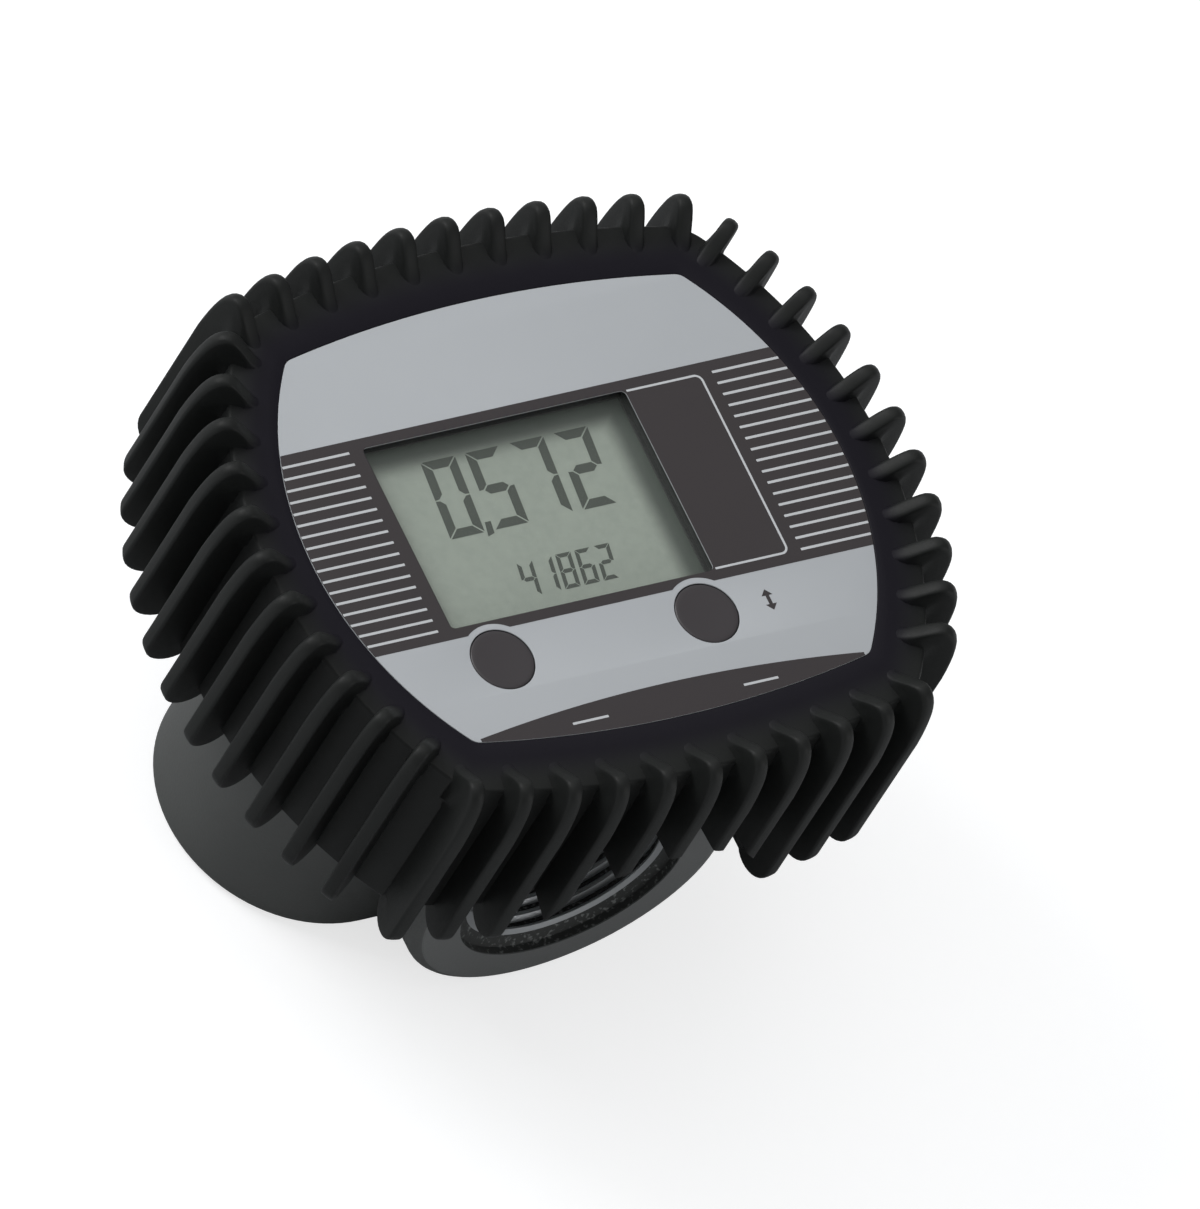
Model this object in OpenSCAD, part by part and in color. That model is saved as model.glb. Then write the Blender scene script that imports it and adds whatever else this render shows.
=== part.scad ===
// Oval gear flow meter lying on its back: display face up, flow along Y, ports at both Y ends.

/* [Face] */
// Least space between the window and the face's left corners
face_side = 4.9; // [4:0.1:7]
// Least space between the buttons and the face's lower corners
face_foot = 7.25; // [6:0.05:9]
// Bulge of the label's left and right sides beyond the corners
face_bulge_x = 10.6; // [8:0.2:13]
// Bulge of the label's top and bottom sides beyond the corners
face_bulge_y = 3.9; // [3:0.1:6]
// Height of the label's face above the ground
face_z = 74; // [73.5:0.1:75]
// Thickness of the label sheet
label_t = 0.3; // [0.2:0.05:0.5]

/* [Display] */
// Width of the window opening
window_w = 45.8; // [40:0.2:48]
// Height of the window opening
window_h = 32.4; // [26:0.2:34]
// Window centre, to the left of the middle
window_left = 6.2; // [4:0.2:8]
// Window centre, above the middle
window_up = 1.3; // [0:0.1:2]
// Depth of the window pane below the label
window_sink = 1; // [0.8:0.1:1.2]
// Radius of a push button
button_r = 5.05; // [4.5:0.05:5.3]
// Space between the window and the buttons below it
button_drop = 1.55; // [1.5:0.05:2]
// Axis of the reset button, inward from the window's left edge
reset_in = 5.4; // [5:0.1:7]
// Axis of the rate button, inward from the window's right edge
rate_in = 4.8; // [4:0.1:6]
// Travel of a push button
button_travel = 0.5; // [0.3:0.05:0.6]

/* [Rubber boot] */
// Thickness of the boot's wall
boot_wall = 3.6; // [3:0.1:4]
// Thickness of the lip round the label
lip_t = 3.2; // [2.6:0.1:3.4]
// Height of the boot wall's rear edge above the ground
boot_back_z = 42; // [40:0.5:44]
// Fins on each side of the boot
fin_count = 11; // [7:2:11]
// Thickness of a fin
fin_t = 2.3; // [1.6:0.1:2.6]
// Height of a fin beyond the boot's wall
fin_out = 5.2; // [4:0.1:6]
// Height of a fin above the lip
fin_rise = 4.4; // [2.5:0.1:4.5]
// Length of a fin past the boot's rear edge
fin_tail = 4; // [2:0.1:5]
// Half width of the arch over each port
arch_half = 19.6; // [19:0.1:20.5]
// Height of the arch's top above the ground
arch_top_z = 57.6; // [56:0.1:59]
// Angle between the fins on the left and right sides
fin_step_side = 6.3; // [5.5:0.1:6.4]
// Angle between the fins on the top and bottom sides
fin_step_end = 2.8; // [2.4:0.1:2.9]

/* [Meter body] */
// Radius of each end lobe
lobe_r = 22.8; // [22.3:0.1:24]
// Distance of each lobe's centre from the middle
lobe_x = 19.5; // [18.5:0.1:20.5]
// Height of the body's top face
body_top_z = 46; // [45.8:0.1:46.4]
// Outer radius of a port boss
boss_r = 26; // [25:0.1:26]
// Height of the ports' axis above the ground
boss_z = 27; // [26.8:0.1:27]
// Distance of each port face from the middle
port_y = 37.4; // [36:0.2:40]
// Minor radius of the inlet's pipe thread, at its lands
inlet_minor_r = 15.15; // [15.15:0.01:15.2]
// Minor radius of the outlet's pipe thread, inside the same tolerance
outlet_minor_r = 15.42; // [15.36:0.01:15.46]
// Major radius of both threads, at the bottom of their grooves
thread_major_r = 16.62; // [16.6:0.01:16.7]
// Pitch of the pipe thread
thread_pitch = 2.309; // [2:0.001:2.4]
// Turns of thread in a port
thread_turns = 5; // [3:1:5]

/* [Gears] */
// Distance between the gear shafts
gear_apart = 31; // [30.6:0.1:31.4]
// Radius of each gear chamber
chamber_r = 17.7; // [17.6:0.05:18]
// Height of the chamber floor above the ground
chamber_floor_z = 13; // [11:0.5:14]
// Teeth on each oval gear
gear_teeth = 28; // [20:4:32]
// Half the difference between a gear's long and short radius
gear_swing = 2; // [1.5:0.1:2]
// Height of a gear tooth
tooth_h = 1.3; // [0.8:0.1:1.6]
// Radius of a gear shaft
shaft_r = 4; // [3:0.25:4.5]

/* [Hidden] */

// Shared clearances
gap = 0.3;
slip = 0.05;
cut = 1;
pair = [-1, 1];

// Smoothness of round parts
$fn = 48;
side_steps = 12;
corner_steps = 4;

// Casing walls and levels, from the face down
housing_wall = 2.5;
boot_in = 5;
housing_out = boot_in - gap;
housing_in = housing_out - housing_wall;
boot_out = boot_in + boot_wall;
cover_top_z = face_z - label_t;
cover_flange_t = 2;
lip_bottom_z = face_z - label_t - lip_t + gap;
lip_top_z = lip_bottom_z + lip_t;
cover_step_z = lip_bottom_z - gap / 3;
cover_bottom_z = cover_step_z - cover_flange_t;
plate_t = 7.3;
housing_z = body_top_z + plate_t;
housing_floor_t = 2;
floor_z = housing_z + housing_floor_t;

// Window pane, its gasket and the liquid crystal panel under it
pane_t = 1.8;
pane_lap = 0.7;
pane_top_z = face_z - window_sink;
pane_z = pane_top_z - pane_t;
gasket_t = 0.4;
gasket_w = 0.6;
lcd_t = 2.2;
lcd_lap = 0.5;
lcd_seat = 1;
lcd_z = pane_z - gasket_t - lcd_t;
window_r = 0.9;

// Circuit board and what stands on it
board_t = 1.6;
board_past_left = 6.9;
board_past_right = 2.5;
board_past_switch = 2;
strip_h = 6.4;
strip_w = 2.2;
strip_end = 3;
board_top_z = lcd_z - strip_h;
board_z = board_top_z - board_t;
holder_wall = 1.2;
holder_out = lcd_lap + gap + holder_wall;
post_r = 2.7;
post_past_left = 3.9;
post_past_right = 0.3;
post_inset = 4;
board_screw_r = 1;
board_head_r = 1.9;
board_head_h = 1.4;
board_screw_l = 5;

// Switches and buttons
switch_w = 6;
switch_h = 3.5;
switch_tip_r = 1.7;
switch_tip_h = 0.8;
button_tab_out = 1.1;
button_tab_w = 5;
button_tab_t = 1;
button_top_sink = 0.25;
button_stem_r = 1.5;
button_gap = button_travel + slip;
button_edge = 0.5;
button_slip = gap;

// Cells and their holder
cell_r = 5.2;
cell_l = 44.2;
cell_tip_r = 1.9;
cell_tip_l = 0.8;
cell_clear = 1.3;
cell_pitch = 10.6;
tray_t = 1;
tray_end_t = 1.6;
tray_end_h = 7;
contact_t = 0.5;
contact_w = 7;

// Reed switches that sense the gear magnets
reed_r = 1.2;
reed_l = 14;
reed_spread = 4;

// Casing screws
case_screw_in = 3;
pillar_clear = 0.5;
tray_clear = 1.2;
tray_past = 5.4;
tray_room = 8.5;
case_screw_r = 1.5;
case_head_r = 2.75;
case_head_h = 2.6;
case_pillar_r = 3.4;
case_screw_bite = 3.4;
seat_screw_x = 15;
seat_screw_y = 13;
seat_screw_l = 5.6;
seat_screw_bite = seat_screw_l - housing_floor_t;
seal_w = 1.2;
seal_t = 1;
seal_inset = 0.6;

// Cover plate and its screws
ear_r = 5.5;
ear_t = 6;
ear_x = 33;
ear_y = 19.5;
end_ear_x = 39;
plate_side = 0.5;
plate_screw_r = 2;
plate_head_r = 3.5;
plate_head_h = 4;
plate_screw_l = 8;
plate_bite = plate_screw_l - plate_t + plate_head_h + gap;
ring_in = 1;
ring_w = 1.6;
ring_t = 1.2;

// Ports
face_round = 2.5;
round_steps = 6;
socket_r = 18.3;
socket_step = 1.4;
socket_lead = 1.2;
thread_land = 0.5;
thread_flat = 0.35;
thread_l = thread_turns * thread_pitch;
socket_l = socket_step + socket_lead + thread_l;
passage_r = 8.5;
passage_end_y = 4;
foot_round = 1.8;

// Gears, shafts and what turns with the gears
gear_x = gear_apart / 2;
gear_clear = 0.3;
gear_tip_r = gear_x - gear_clear;
gear_end_gap = 0.6;
gear_z = chamber_floor_z + gear_end_gap;
gear_h = body_top_z - chamber_floor_z - 2 * gear_end_gap;
bush_r = 6.4;
bush_l = 8;
shaft_seat = 7;
shaft_top_gap = 0.3;
magnet_r = 2;
magnet_h = 3;
magnet_orbit = 10.4;
washer_r = 7;
washer_t = gear_end_gap - gap / 2;
tooth_tip_share = 0.18;
tooth_root_share = 0.27;

// Inlet strainer
strainer_t = 1;
strainer_hole_r = 1.1;
strainer_pitch = 3.1;
strainer_rows = 3;
strainer_ring_w = 1.8;
strainer_ring_t = 1.5;
strainer_r = 12.5;
strainer_seat_y = port_y - socket_l - strainer_t - strainer_ring_t;

// Places that follow the window's edges
window_x0 = window_left + window_w / 2;
window_x1 = window_w / 2 - window_left;
button_down = window_h / 2 - window_up + button_drop + button_r;
reset_left = window_x0 - reset_in;
rate_right = window_x1 - rate_in;
board_left = window_x0 + board_past_left;
board_right = window_x1 + board_past_right;
board_half_y = button_down + switch_w / 2 + board_past_switch;
post_left = window_x0 + post_past_left;
post_right = window_x1 + post_past_right;
post_y = board_half_y - post_inset;
cell_x = window_x1 + holder_out + cell_clear + cell_r;
tray_in_y = cell_l / 2 + contact_t + cell_tip_l + gap;
tray_half_y = tray_in_y + tray_end_t;
tray_x0 = cell_x - cell_r;
tray_x1 = cell_x + cell_pitch + cell_r - tray_end_t;

// Corners of the face: far enough out for the window, the buttons and the cells
face_corner_x = max(window_x0 + face_side, tray_x1 - tray_past);
face_corner_y = max(button_down + button_r + face_foot, tray_half_y + tray_room);
case_screw_x = face_corner_x - case_screw_in;
case_screw_y = max(board_half_y, tray_half_y + tray_clear) + case_pillar_r + pillar_clear;

// Face outline: four shallow arcs through the label's corners
side_arc_r = (face_corner_y * face_corner_y + face_bulge_x * face_bulge_x) / (2 * face_bulge_x);
end_arc_r = (face_corner_x * face_corner_x + face_bulge_y * face_bulge_y) / (2 * face_bulge_y);
side_arc_x = face_corner_x + face_bulge_x - side_arc_r;
end_arc_y = face_corner_y + face_bulge_y - end_arc_r;
side_half = asin(face_corner_y / side_arc_r);
end_half = asin(face_corner_x / end_arc_r);

// Points of a circular arc
function arc(c, r, a0, a1, n) =
    [for (i = [0 : n]) let (a = a0 + (a1 - a0) * i / n) c + r * [cos(a), sin(a)]];

// One quarter of the face outline grown by d: half a side, a corner and half an end
function quarter(d) = concat(
    arc([side_arc_x, 0], side_arc_r + d, 0, side_half, side_steps / 2),
    d > 0 ? arc([face_corner_x, face_corner_y], d, side_half + corner_step(), 90 - end_half - corner_step(),
        corner_steps - 2) : [],
    arc([0, end_arc_y], end_arc_r + d, 90 - end_half, 90, side_steps / 2));
function corner_step() = (90 - end_half - side_half) / corner_steps;
function flip_x(p) = [for (i = [len(p) - 2 : -1 : 0]) [-p[i][0], p[i][1]]];
function flip_y(p) = [for (i = [len(p) - 2 : -1 : 1]) [p[i][0], -p[i][1]]];
function upper(d) = concat(quarter(d), flip_x(quarter(d)));
function outline(d) = concat(upper(d), flip_y(upper(d)));

module face_block(d, z0, z1) {
    translate([0, 0, z0]) linear_extrude(z1 - z0) polygon(outline(d));
}

module face_ring(d_in, d_out, z0, z1) {
    difference() {
        face_block(d_out, z0, z1);
        face_block(d_in, z0 - cut, z1 + cut);
    }
}

module rod(r, z0, z1) {
    translate([0, 0, z0]) cylinder(r = r, h = z1 - z0);
}

// Block with corners at two points
module span(low, high) {
    translate(low) cube(high - low);
}

module four_places(x, y) {
    for (sx = pair, sy = pair) translate([sx * x, sy * y, 0]) children();
}

module board_posts() {
    for (x = [-post_left, post_right], y = [-post_y, post_y]) translate([x, y, 0]) children();
}

module button_places() {
    for (x = [-reset_left, rate_right]) translate([x, -button_down, 0]) children();
}

// Rectangle of the window, grown by d, between two heights
module window_block(d, z0, z1) {
    span([-window_left - window_w / 2 - d, window_up - window_h / 2 - d, z0],
        [-window_left + window_w / 2 + d, window_up + window_h / 2 + d, z1]);
}

// Window opening with small round corners
module window_hole(z0, z1) {
    w = window_w / 2 - window_r;
    h = window_h / 2 - window_r;
    translate([-window_left, window_up, 0]) {
        span([-window_w / 2, -h, z0], [window_w / 2, h, z1]);
        span([-w, -window_h / 2, z0], [w, window_h / 2, z1]);
        four_places(w, h) rod(window_r, z0, z1);
    }
}

// Side profile of one fin: outward from the face outline, and up
fin_in = boot_in + boot_wall / 3;
fin_far = boot_out + fin_out;
fin_start = boot_in - 2 * gap;
fin_top_z = lip_top_z + fin_rise;
fin_end_r = (fin_far - fin_in) / 2;
fin_shoulder_r = fin_out - 2 * gap;
fin_nose_r = fin_rise;
fin_back_z = boot_back_z - fin_tail;
fin_root_z = lip_bottom_z + lip_t / 2;
function fin_profile() = concat(
    arc([fin_in + fin_end_r, fin_back_z + fin_end_r], fin_end_r, 180, 360, 6),
    arc([fin_far - fin_shoulder_r, fin_top_z - fin_shoulder_r], fin_shoulder_r, 0, 90, 5),
    arc([fin_start + fin_nose_r, fin_top_z - fin_nose_r], fin_nose_r, 90, 180, 3),
    [[fin_start, fin_root_z], [fin_in, fin_root_z]]);

module fin() {
    rotate([90, 0, 0]) translate([0, 0, -fin_t / 2]) linear_extrude(fin_t) polygon(fin_profile());
}

module fin_row(centre, r, step) {
    translate([centre, 0, 0])
        for (i = [0 : fin_count - 1])
            rotate([0, 0, (i - (fin_count - 1) / 2) * step]) translate([r, 0, 0]) fin();
}

// Arch that leaves room for a fitting at each port
module port_arch() {
    reach = face_corner_y + face_bulge_y + fin_far + cut;
    crown_z = arch_top_z - arch_half;
    translate([0, reach, crown_z]) rotate([90, 0, 0]) cylinder(r = arch_half, h = 2 * reach);
    span([-arch_half, -reach, 0], [arch_half, reach, crown_z]);
}

hook_t = 2.8;
bevel = 1.6;
module rubber_boot() {
    color("#1e201f") difference() {
        union() {
            face_ring(boot_in, boot_out, boot_back_z, lip_top_z - bevel);
            face_ring(boot_in, boot_out - bevel, boot_back_z, lip_top_z);
            face_ring(gap, boot_in + boot_wall / 2, lip_bottom_z, lip_top_z);
            face_ring(gap, boot_in + boot_wall / 2, housing_z - hook_t - gap, housing_z - gap);
            for (turn = [0, 180]) rotate([0, 0, turn]) {
                fin_row(side_arc_x, side_arc_r, fin_step_side);
                rotate([0, 0, 90]) fin_row(end_arc_y, end_arc_r, fin_step_end);
            }
        }
        port_arch();
        plate_outline(gap, boot_back_z - cut, housing_z);
    }
}

module face_label() {
    color("#a8aeb2") difference() {
        face_block(0, cover_top_z, face_z);
        window_hole(cover_top_z - cut, face_z + cut);
        button_places() rod(button_r + button_slip, cover_top_z - cut, face_z + cut);
    }
}

module front_cover() {
    color("#2b2b2c") difference() {
        union() {
            face_block(housing_out, cover_bottom_z, cover_step_z);
            face_block(0, cover_step_z - cut, cover_top_z);
        }
        window_hole(cover_bottom_z - cut, cover_top_z + cut);
        window_block(pane_lap + slip, cover_bottom_z - cut, pane_top_z);
        window_block(holder_out + gap, cover_bottom_z - cut, lcd_z + lcd_seat + gap);
        button_places() rod(button_r + button_slip, cover_bottom_z - cut, cover_top_z + cut);
        four_places(case_screw_x, case_screw_y)
            rod(case_screw_r, cover_bottom_z - cut, cover_bottom_z + case_screw_bite + gap);
    }
}

module display_window() {
    color("#c7d0cc") window_block(pane_lap, pane_z, pane_top_z);
}

module window_gasket() {
    color("#202020") difference() {
        window_block(pane_lap, pane_z - gasket_t, pane_z);
        window_block(pane_lap - gasket_w, pane_z - gasket_t - cut, pane_z + cut);
    }
}

module lcd_panel() {
    color("#97a196") window_block(lcd_lap, lcd_z, lcd_z + lcd_t);
}

module lcd_holder() {
    color("#ded9cc") difference() {
        window_block(holder_out, board_top_z, lcd_z + lcd_seat);
        window_block(lcd_lap + gap, lcd_z, lcd_z + lcd_t + cut);
        window_block(0, board_top_z - cut, lcd_z + cut);
        button_places() rod(button_r + button_slip, board_top_z - cut, lcd_z + lcd_t + cut);
    }
}

module contact_strips() {
    color("#c86f5a") for (s = pair)
        translate([-window_left, window_up + s * (window_h / 2 - strip_w), 0])
            span([-window_w / 2 + strip_end, -strip_w / 2, board_top_z],
                [window_w / 2 - strip_end, strip_w / 2, lcd_z]);
}

module circuit_board() {
    color("#2f6b45") difference() {
        span([-board_left, -board_half_y, board_z], [board_right, board_half_y, board_top_z]);
        board_posts() rod(board_screw_r + gap, board_z - cut, board_top_z + cut);
    }
}

// Parts soldered under the board: a controller, a crystal, a capacitor and two drivers
chip_w = 10;
chip_h = 1.4;
crystal_l = 8;
crystal_w = 3;
capacitor_r = 2.5;
capacitor_h = 3.4;
driver_w = 4;
driver_h = 1.1;
chip_step = 9;
module board_chips() {
    color("#26282a") {
        span([-window_left - chip_w / 2, -chip_w / 2, board_z - chip_h],
            [-window_left + chip_w / 2, chip_w / 2, board_z]);
        translate([-window_left, chip_step + crystal_w, 0])
            span([-crystal_l / 2, -crystal_w / 2, board_z - crystal_w], [crystal_l / 2, crystal_w / 2, board_z]);
        translate([-window_left, -chip_step - crystal_w, 0]) rod(capacitor_r, board_z - capacitor_h, board_z);
        for (s = pair) translate([-window_left - chip_step - crystal_l, s * chip_step, 0])
            span([-driver_w / 2, -driver_w / 2, board_z - driver_h], [driver_w / 2, driver_w / 2, board_z]);
    }
}

// Screw standing head up, with its head's underside at z = 0
module screw(r, l, head_r, head_h) {
    drive = head_r / 2;
    difference() {
        union() {
            rod(r, -l, 0);
            rod(head_r, 0, head_h);
        }
        translate([0, 0, head_h / 2]) cylinder(r = drive, h = head_h, $fn = 6);
    }
}

module board_screws() {
    color("#9a9c9e") board_posts() translate([0, 0, board_top_z])
        screw(board_screw_r, board_screw_l, board_head_r, board_head_h);
}

module button_switches() {
    color("#3b3d40") button_places() {
        span([-switch_w / 2, -switch_w / 2, board_top_z], [switch_w / 2, switch_w / 2, board_top_z + switch_h]);
        rod(switch_tip_r, board_top_z + switch_h - cut, board_top_z + switch_h + switch_tip_h);
    }
}

// Round cap with two side tabs that hold it under the cover, and a stem down to its switch
module button(x) {
    top_z = face_z - button_top_sink;
    tab_x = button_r + button_tab_out;
    tab_z = cover_bottom_z - gap / 2 - button_tab_t;
    cap_z = tab_z + button_tab_t / 2;
    stem_z = board_top_z + switch_h + switch_tip_h + button_gap;
    color("#343238") translate([x, -button_down, 0]) {
        rod(button_r, cap_z, top_z - button_edge);
        translate([0, 0, top_z - button_edge])
            cylinder(r1 = button_r, r2 = button_r - button_edge, h = button_edge);
        span([-tab_x, -button_tab_w / 2, tab_z], [tab_x, button_tab_w / 2, tab_z + button_tab_t]);
        rod(button_stem_r, stem_z, cap_z);
    }
}

module reset_button() {
    button(-reset_left);
}

module rate_button() {
    button(rate_right);
}

module reed_switches() {
    color("#b9d0c4") for (s = pair)
        translate([s * (gear_x - reed_spread), reed_l / 2, floor_z + reed_r])
            rotate([90, 0, 0]) cylinder(r = reed_r, h = reed_l);
}

// Tray with two end walls; the cells lie along Y
cell_z = floor_z + tray_t + cell_r + gap / 3;
module battery_holder() {
    color("#1f2122") {
        span([tray_x0, -tray_half_y, floor_z], [tray_x1, tray_half_y, floor_z + tray_t]);
        for (s = pair) translate([0, s * (tray_in_y + tray_end_t / 2), 0])
            span([tray_x0, -tray_end_t / 2, floor_z], [tray_x1, tray_end_t / 2, floor_z + tray_end_h]);
    }
}

module battery_contacts() {
    color("#b8b4a8") for (i = [0, 1], s = pair)
        translate([cell_x + i * (cell_pitch - tray_end_t), s * (tray_in_y - contact_t / 2), 0])
            span([-contact_w / 2, -contact_t / 2, floor_z + tray_t],
                [contact_w / 2, contact_t / 2, floor_z + tray_end_h]);
}

module batteries() {
    color("#3f6f9a") for (i = [0, 1])
        translate([cell_x + i * cell_pitch, 0, cell_z]) rotate([i * 180 + 90, 0, 0]) {
            translate([0, 0, -cell_l / 2]) cylinder(r = cell_r, h = cell_l);
            translate([0, 0, cell_l / 2 - cut]) cylinder(r = cell_tip_r, h = cut + cell_tip_l);
        }
}

// Seal that lies in the housing's rim
module seal_ring(d, z0, z1) {
    face_ring(housing_in + seal_inset + d, housing_in + seal_inset + seal_w - d, z0, z1);
}

module housing_seal() {
    color("#15161a") seal_ring(0, cover_bottom_z - seal_t, cover_bottom_z);
}

module display_housing() {
    color("#2b2b2c") difference() {
        union() {
            difference() {
                face_block(housing_out, housing_z, cover_bottom_z);
                face_block(housing_in, floor_z, cover_bottom_z + cut);
            }
            four_places(case_screw_x, case_screw_y) rod(case_pillar_r, floor_z - cut, cover_bottom_z);
            board_posts() rod(post_r, floor_z - cut, board_z);
        }
        seal_ring(0, cover_bottom_z - seal_t, cover_bottom_z + cut);
        four_places(case_screw_x, case_screw_y) {
            rod(case_screw_r + gap, housing_z - cut, cover_bottom_z + cut);
            rod(case_head_r + gap, housing_z - cut, housing_z + case_head_h + gap);
        }
        board_posts() rod(board_screw_r, board_top_z - board_screw_l - gap, board_z + cut);
        four_places(seat_screw_x, seat_screw_y) rod(case_screw_r + gap, housing_z - cut, floor_z + cut);
    }
}

module front_cover_screws() {
    seat_z = housing_z + case_head_h + gap;
    color("#9a9c9e") four_places(case_screw_x, case_screw_y)
        translate([0, 0, seat_z]) mirror([0, 0, 1])
            screw(case_screw_r, cover_bottom_z + case_screw_bite - seat_z, case_head_r, case_head_h);
}

module housing_screws() {
    color("#9a9c9e") four_places(seat_screw_x, seat_screw_y)
        translate([0, 0, floor_z]) screw(case_screw_r, seat_screw_l, case_head_r, case_head_h);
}

// Solid with two round ends along X, whose centres are at plus and minus x
module stadium(x, r, z0, z1) {
    for (s = pair) translate([s * x, 0, 0]) rod(r, z0, z1);
    span([-x, -r, z0], [x, r, z1]);
}

module ear_places() {
    four_places(ear_x, ear_y) children();
    for (s = pair) translate([s * end_ear_x, 0, 0]) children();
}

module plate_outline(d, z0, z1) {
    stadium(lobe_x, lobe_r - plate_side + d, z0, z1);
    ear_places() rod(ear_r + d, z0, z1);
}

module chamber_cover() {
    color("#8b8e90") difference() {
        plate_outline(0, body_top_z, housing_z);
        ear_places() {
            rod(plate_screw_r + gap, body_top_z - cut, housing_z + cut);
            rod(plate_head_r + gap, housing_z - plate_head_h - gap, housing_z + cut);
        }
        four_places(seat_screw_x, seat_screw_y)
            rod(case_screw_r, housing_z - seat_screw_bite - gap, housing_z + cut);
    }
}

module cover_screws() {
    color("#9a9c9e") ear_places() translate([0, 0, housing_z - plate_head_h - gap])
        screw(plate_screw_r, plate_screw_l, plate_head_r, plate_head_h);
}

// Ring that runs round both gear chambers
module chamber_ring(z0, z1) {
    difference() {
        stadium(gear_x, chamber_r + ring_in + ring_w, z0, z1);
        stadium(gear_x, chamber_r + ring_in, z0 - cut, z1 + cut);
    }
}

module cover_seal() {
    color("#15161a") chamber_ring(body_top_z - ring_t, body_top_z);
}

// Socket cut into a port, from its face inward
thread_start = socket_step + socket_lead;
function thread_groove(i, minor_r) = let (s = thread_start + i * thread_pitch) [
    [minor_r, s + thread_land / 2],
    [thread_major_r, s + thread_pitch / 2 - thread_flat / 2],
    [thread_major_r, s + thread_pitch / 2 + thread_flat / 2],
    [minor_r, s + thread_pitch - thread_land / 2]];
module socket(minor_r) {
    rotate_extrude() polygon(concat(
        [[0, -cut], [socket_r, -cut], [socket_r, socket_step], [minor_r, thread_start]],
        [for (i = [0 : thread_turns - 1], p = thread_groove(i, minor_r)) p],
        [[minor_r, socket_l], [0, socket_l]]));
}

// Port boss along Y, its face's edge rounded
module boss() {
    rotate_extrude() polygon(concat([[0, 0], [boss_r, 0]],
        arc([boss_r - face_round, port_y - face_round], face_round, 0, 90, round_steps), [[0, port_y]]));
}

// Turns children so that their Z points out of the port on side s
module port_side(s) {
    translate([0, 0, boss_z]) rotate([-s * 90, 0, 0]) children();
}

// Two round lobes joined by straight sides, their lower edge rounded
function body_side() = concat([[0, 0]], arc([lobe_r - foot_round, foot_round], foot_round, -90, 0, round_steps),
    [[lobe_r, body_top_z], [0, body_top_z]]);
module body_block() {
    for (s = pair) {
        translate([s * lobe_x, 0, 0]) rotate_extrude() polygon(body_side());
        rotate([90, 0, s * 90]) translate([0, 0, -lobe_x]) linear_extrude(2 * lobe_x) polygon(body_side());
    }
}

module meter_body() {
    color("#3b3d3d") difference() {
        union() {
            body_block();
            ear_places() rod(ear_r, body_top_z - ear_t, body_top_z);
            for (s = pair) port_side(s) boss();
        }
        for (s = pair) translate([s * gear_x, 0, 0]) rod(chamber_r, chamber_floor_z, body_top_z + cut);
        chamber_ring(body_top_z - ring_t, body_top_z + cut);
        span([-ear_x, -lobe_r, body_top_z], [ear_x, lobe_r, body_top_z + boss_r]);
        for (s = pair) {
            port_side(s) {
                translate([0, 0, port_y]) mirror([0, 0, 1]) socket(s > 0 ? inlet_minor_r : outlet_minor_r);
                translate([0, 0, passage_end_y]) cylinder(r = passage_r, h = port_y - passage_end_y - socket_l + cut);
            }
            translate([s * gear_x, 0, 0]) rod(shaft_r, chamber_floor_z - shaft_seat, chamber_floor_z + cut);
        }
        port_side(1) rod(strainer_r + slip, strainer_seat_y, port_y - socket_l + cut);
        ear_places() rod(plate_screw_r, body_top_z - plate_bite - gap, body_top_z + cut);
    }
}

module gear_shafts() {
    color("#b9bcbe") for (s = pair) translate([s * gear_x, 0, 0])
        rod(shaft_r, chamber_floor_z - shaft_seat, body_top_z - shaft_top_gap);
}

module thrust_washers() {
    color("#d8cfb4") for (s = pair, z = [chamber_floor_z, body_top_z - washer_t])
        translate([s * gear_x, 0, z]) difference() {
            cylinder(r = washer_r, h = washer_t);
            translate([0, 0, -cut]) cylinder(r = shaft_r + slip, h = washer_t + 2 * cut);
        }
}

// Oval outline whose radius swings twice a turn, with a tooth every step
function gear_radius(a) = gear_tip_r + gear_swing * cos(2 * a);
function gear_point(a, drop) = (gear_radius(a) - drop) * [cos(a), sin(a)];
function gear_outline() = let (step = 360 / gear_teeth) [
    for (i = [0 : gear_teeth - 1], k = [
            [-tooth_root_share, tooth_h], [-tooth_tip_share, 0],
            [tooth_tip_share, 0], [tooth_root_share, tooth_h]])
        gear_point((i + 1 / 2 + k[0]) * step, k[1])];

// Gear on side s, its long axis turned by an angle
module gear(s, turn) {
    color("#c9b99a") translate([s * gear_x, 0, 0]) rotate([0, 0, turn]) difference() {
        translate([0, 0, gear_z]) linear_extrude(gear_h) polygon(gear_outline());
        rod(bush_r, gear_z - cut, gear_z + gear_h + cut);
        for (m = pair) translate([m * magnet_orbit, 0, 0])
            rod(magnet_r, gear_z + gear_h - magnet_h, gear_z + gear_h + cut);
    }
}

module gear_bush(s) {
    color("#2a2a2c") translate([s * gear_x, 0, 0]) difference() {
        union() {
            rod(bush_r, gear_z, gear_z + bush_l);
            rod(bush_r, gear_z + gear_h - bush_l, gear_z + gear_h);
        }
        rod(shaft_r + slip, gear_z - cut, gear_z + gear_h + cut);
    }
}

module gear_magnets(s, turn) {
    color("#a7abb0") translate([s * gear_x, 0, 0]) rotate([0, 0, turn])
        for (m = pair) translate([m * magnet_orbit, 0, 0])
            rod(magnet_r, gear_z + gear_h - magnet_h, gear_z + gear_h);
}

module left_gear() {
    gear(-1, 0);
}

module left_gear_bush() {
    gear_bush(-1);
}

module left_gear_magnets() {
    gear_magnets(-1, 0);
}

module right_gear() {
    gear(1, 90);
}

module right_gear_bush() {
    gear_bush(1);
}

module right_gear_magnets() {
    gear_magnets(1, 90);
}

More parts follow.
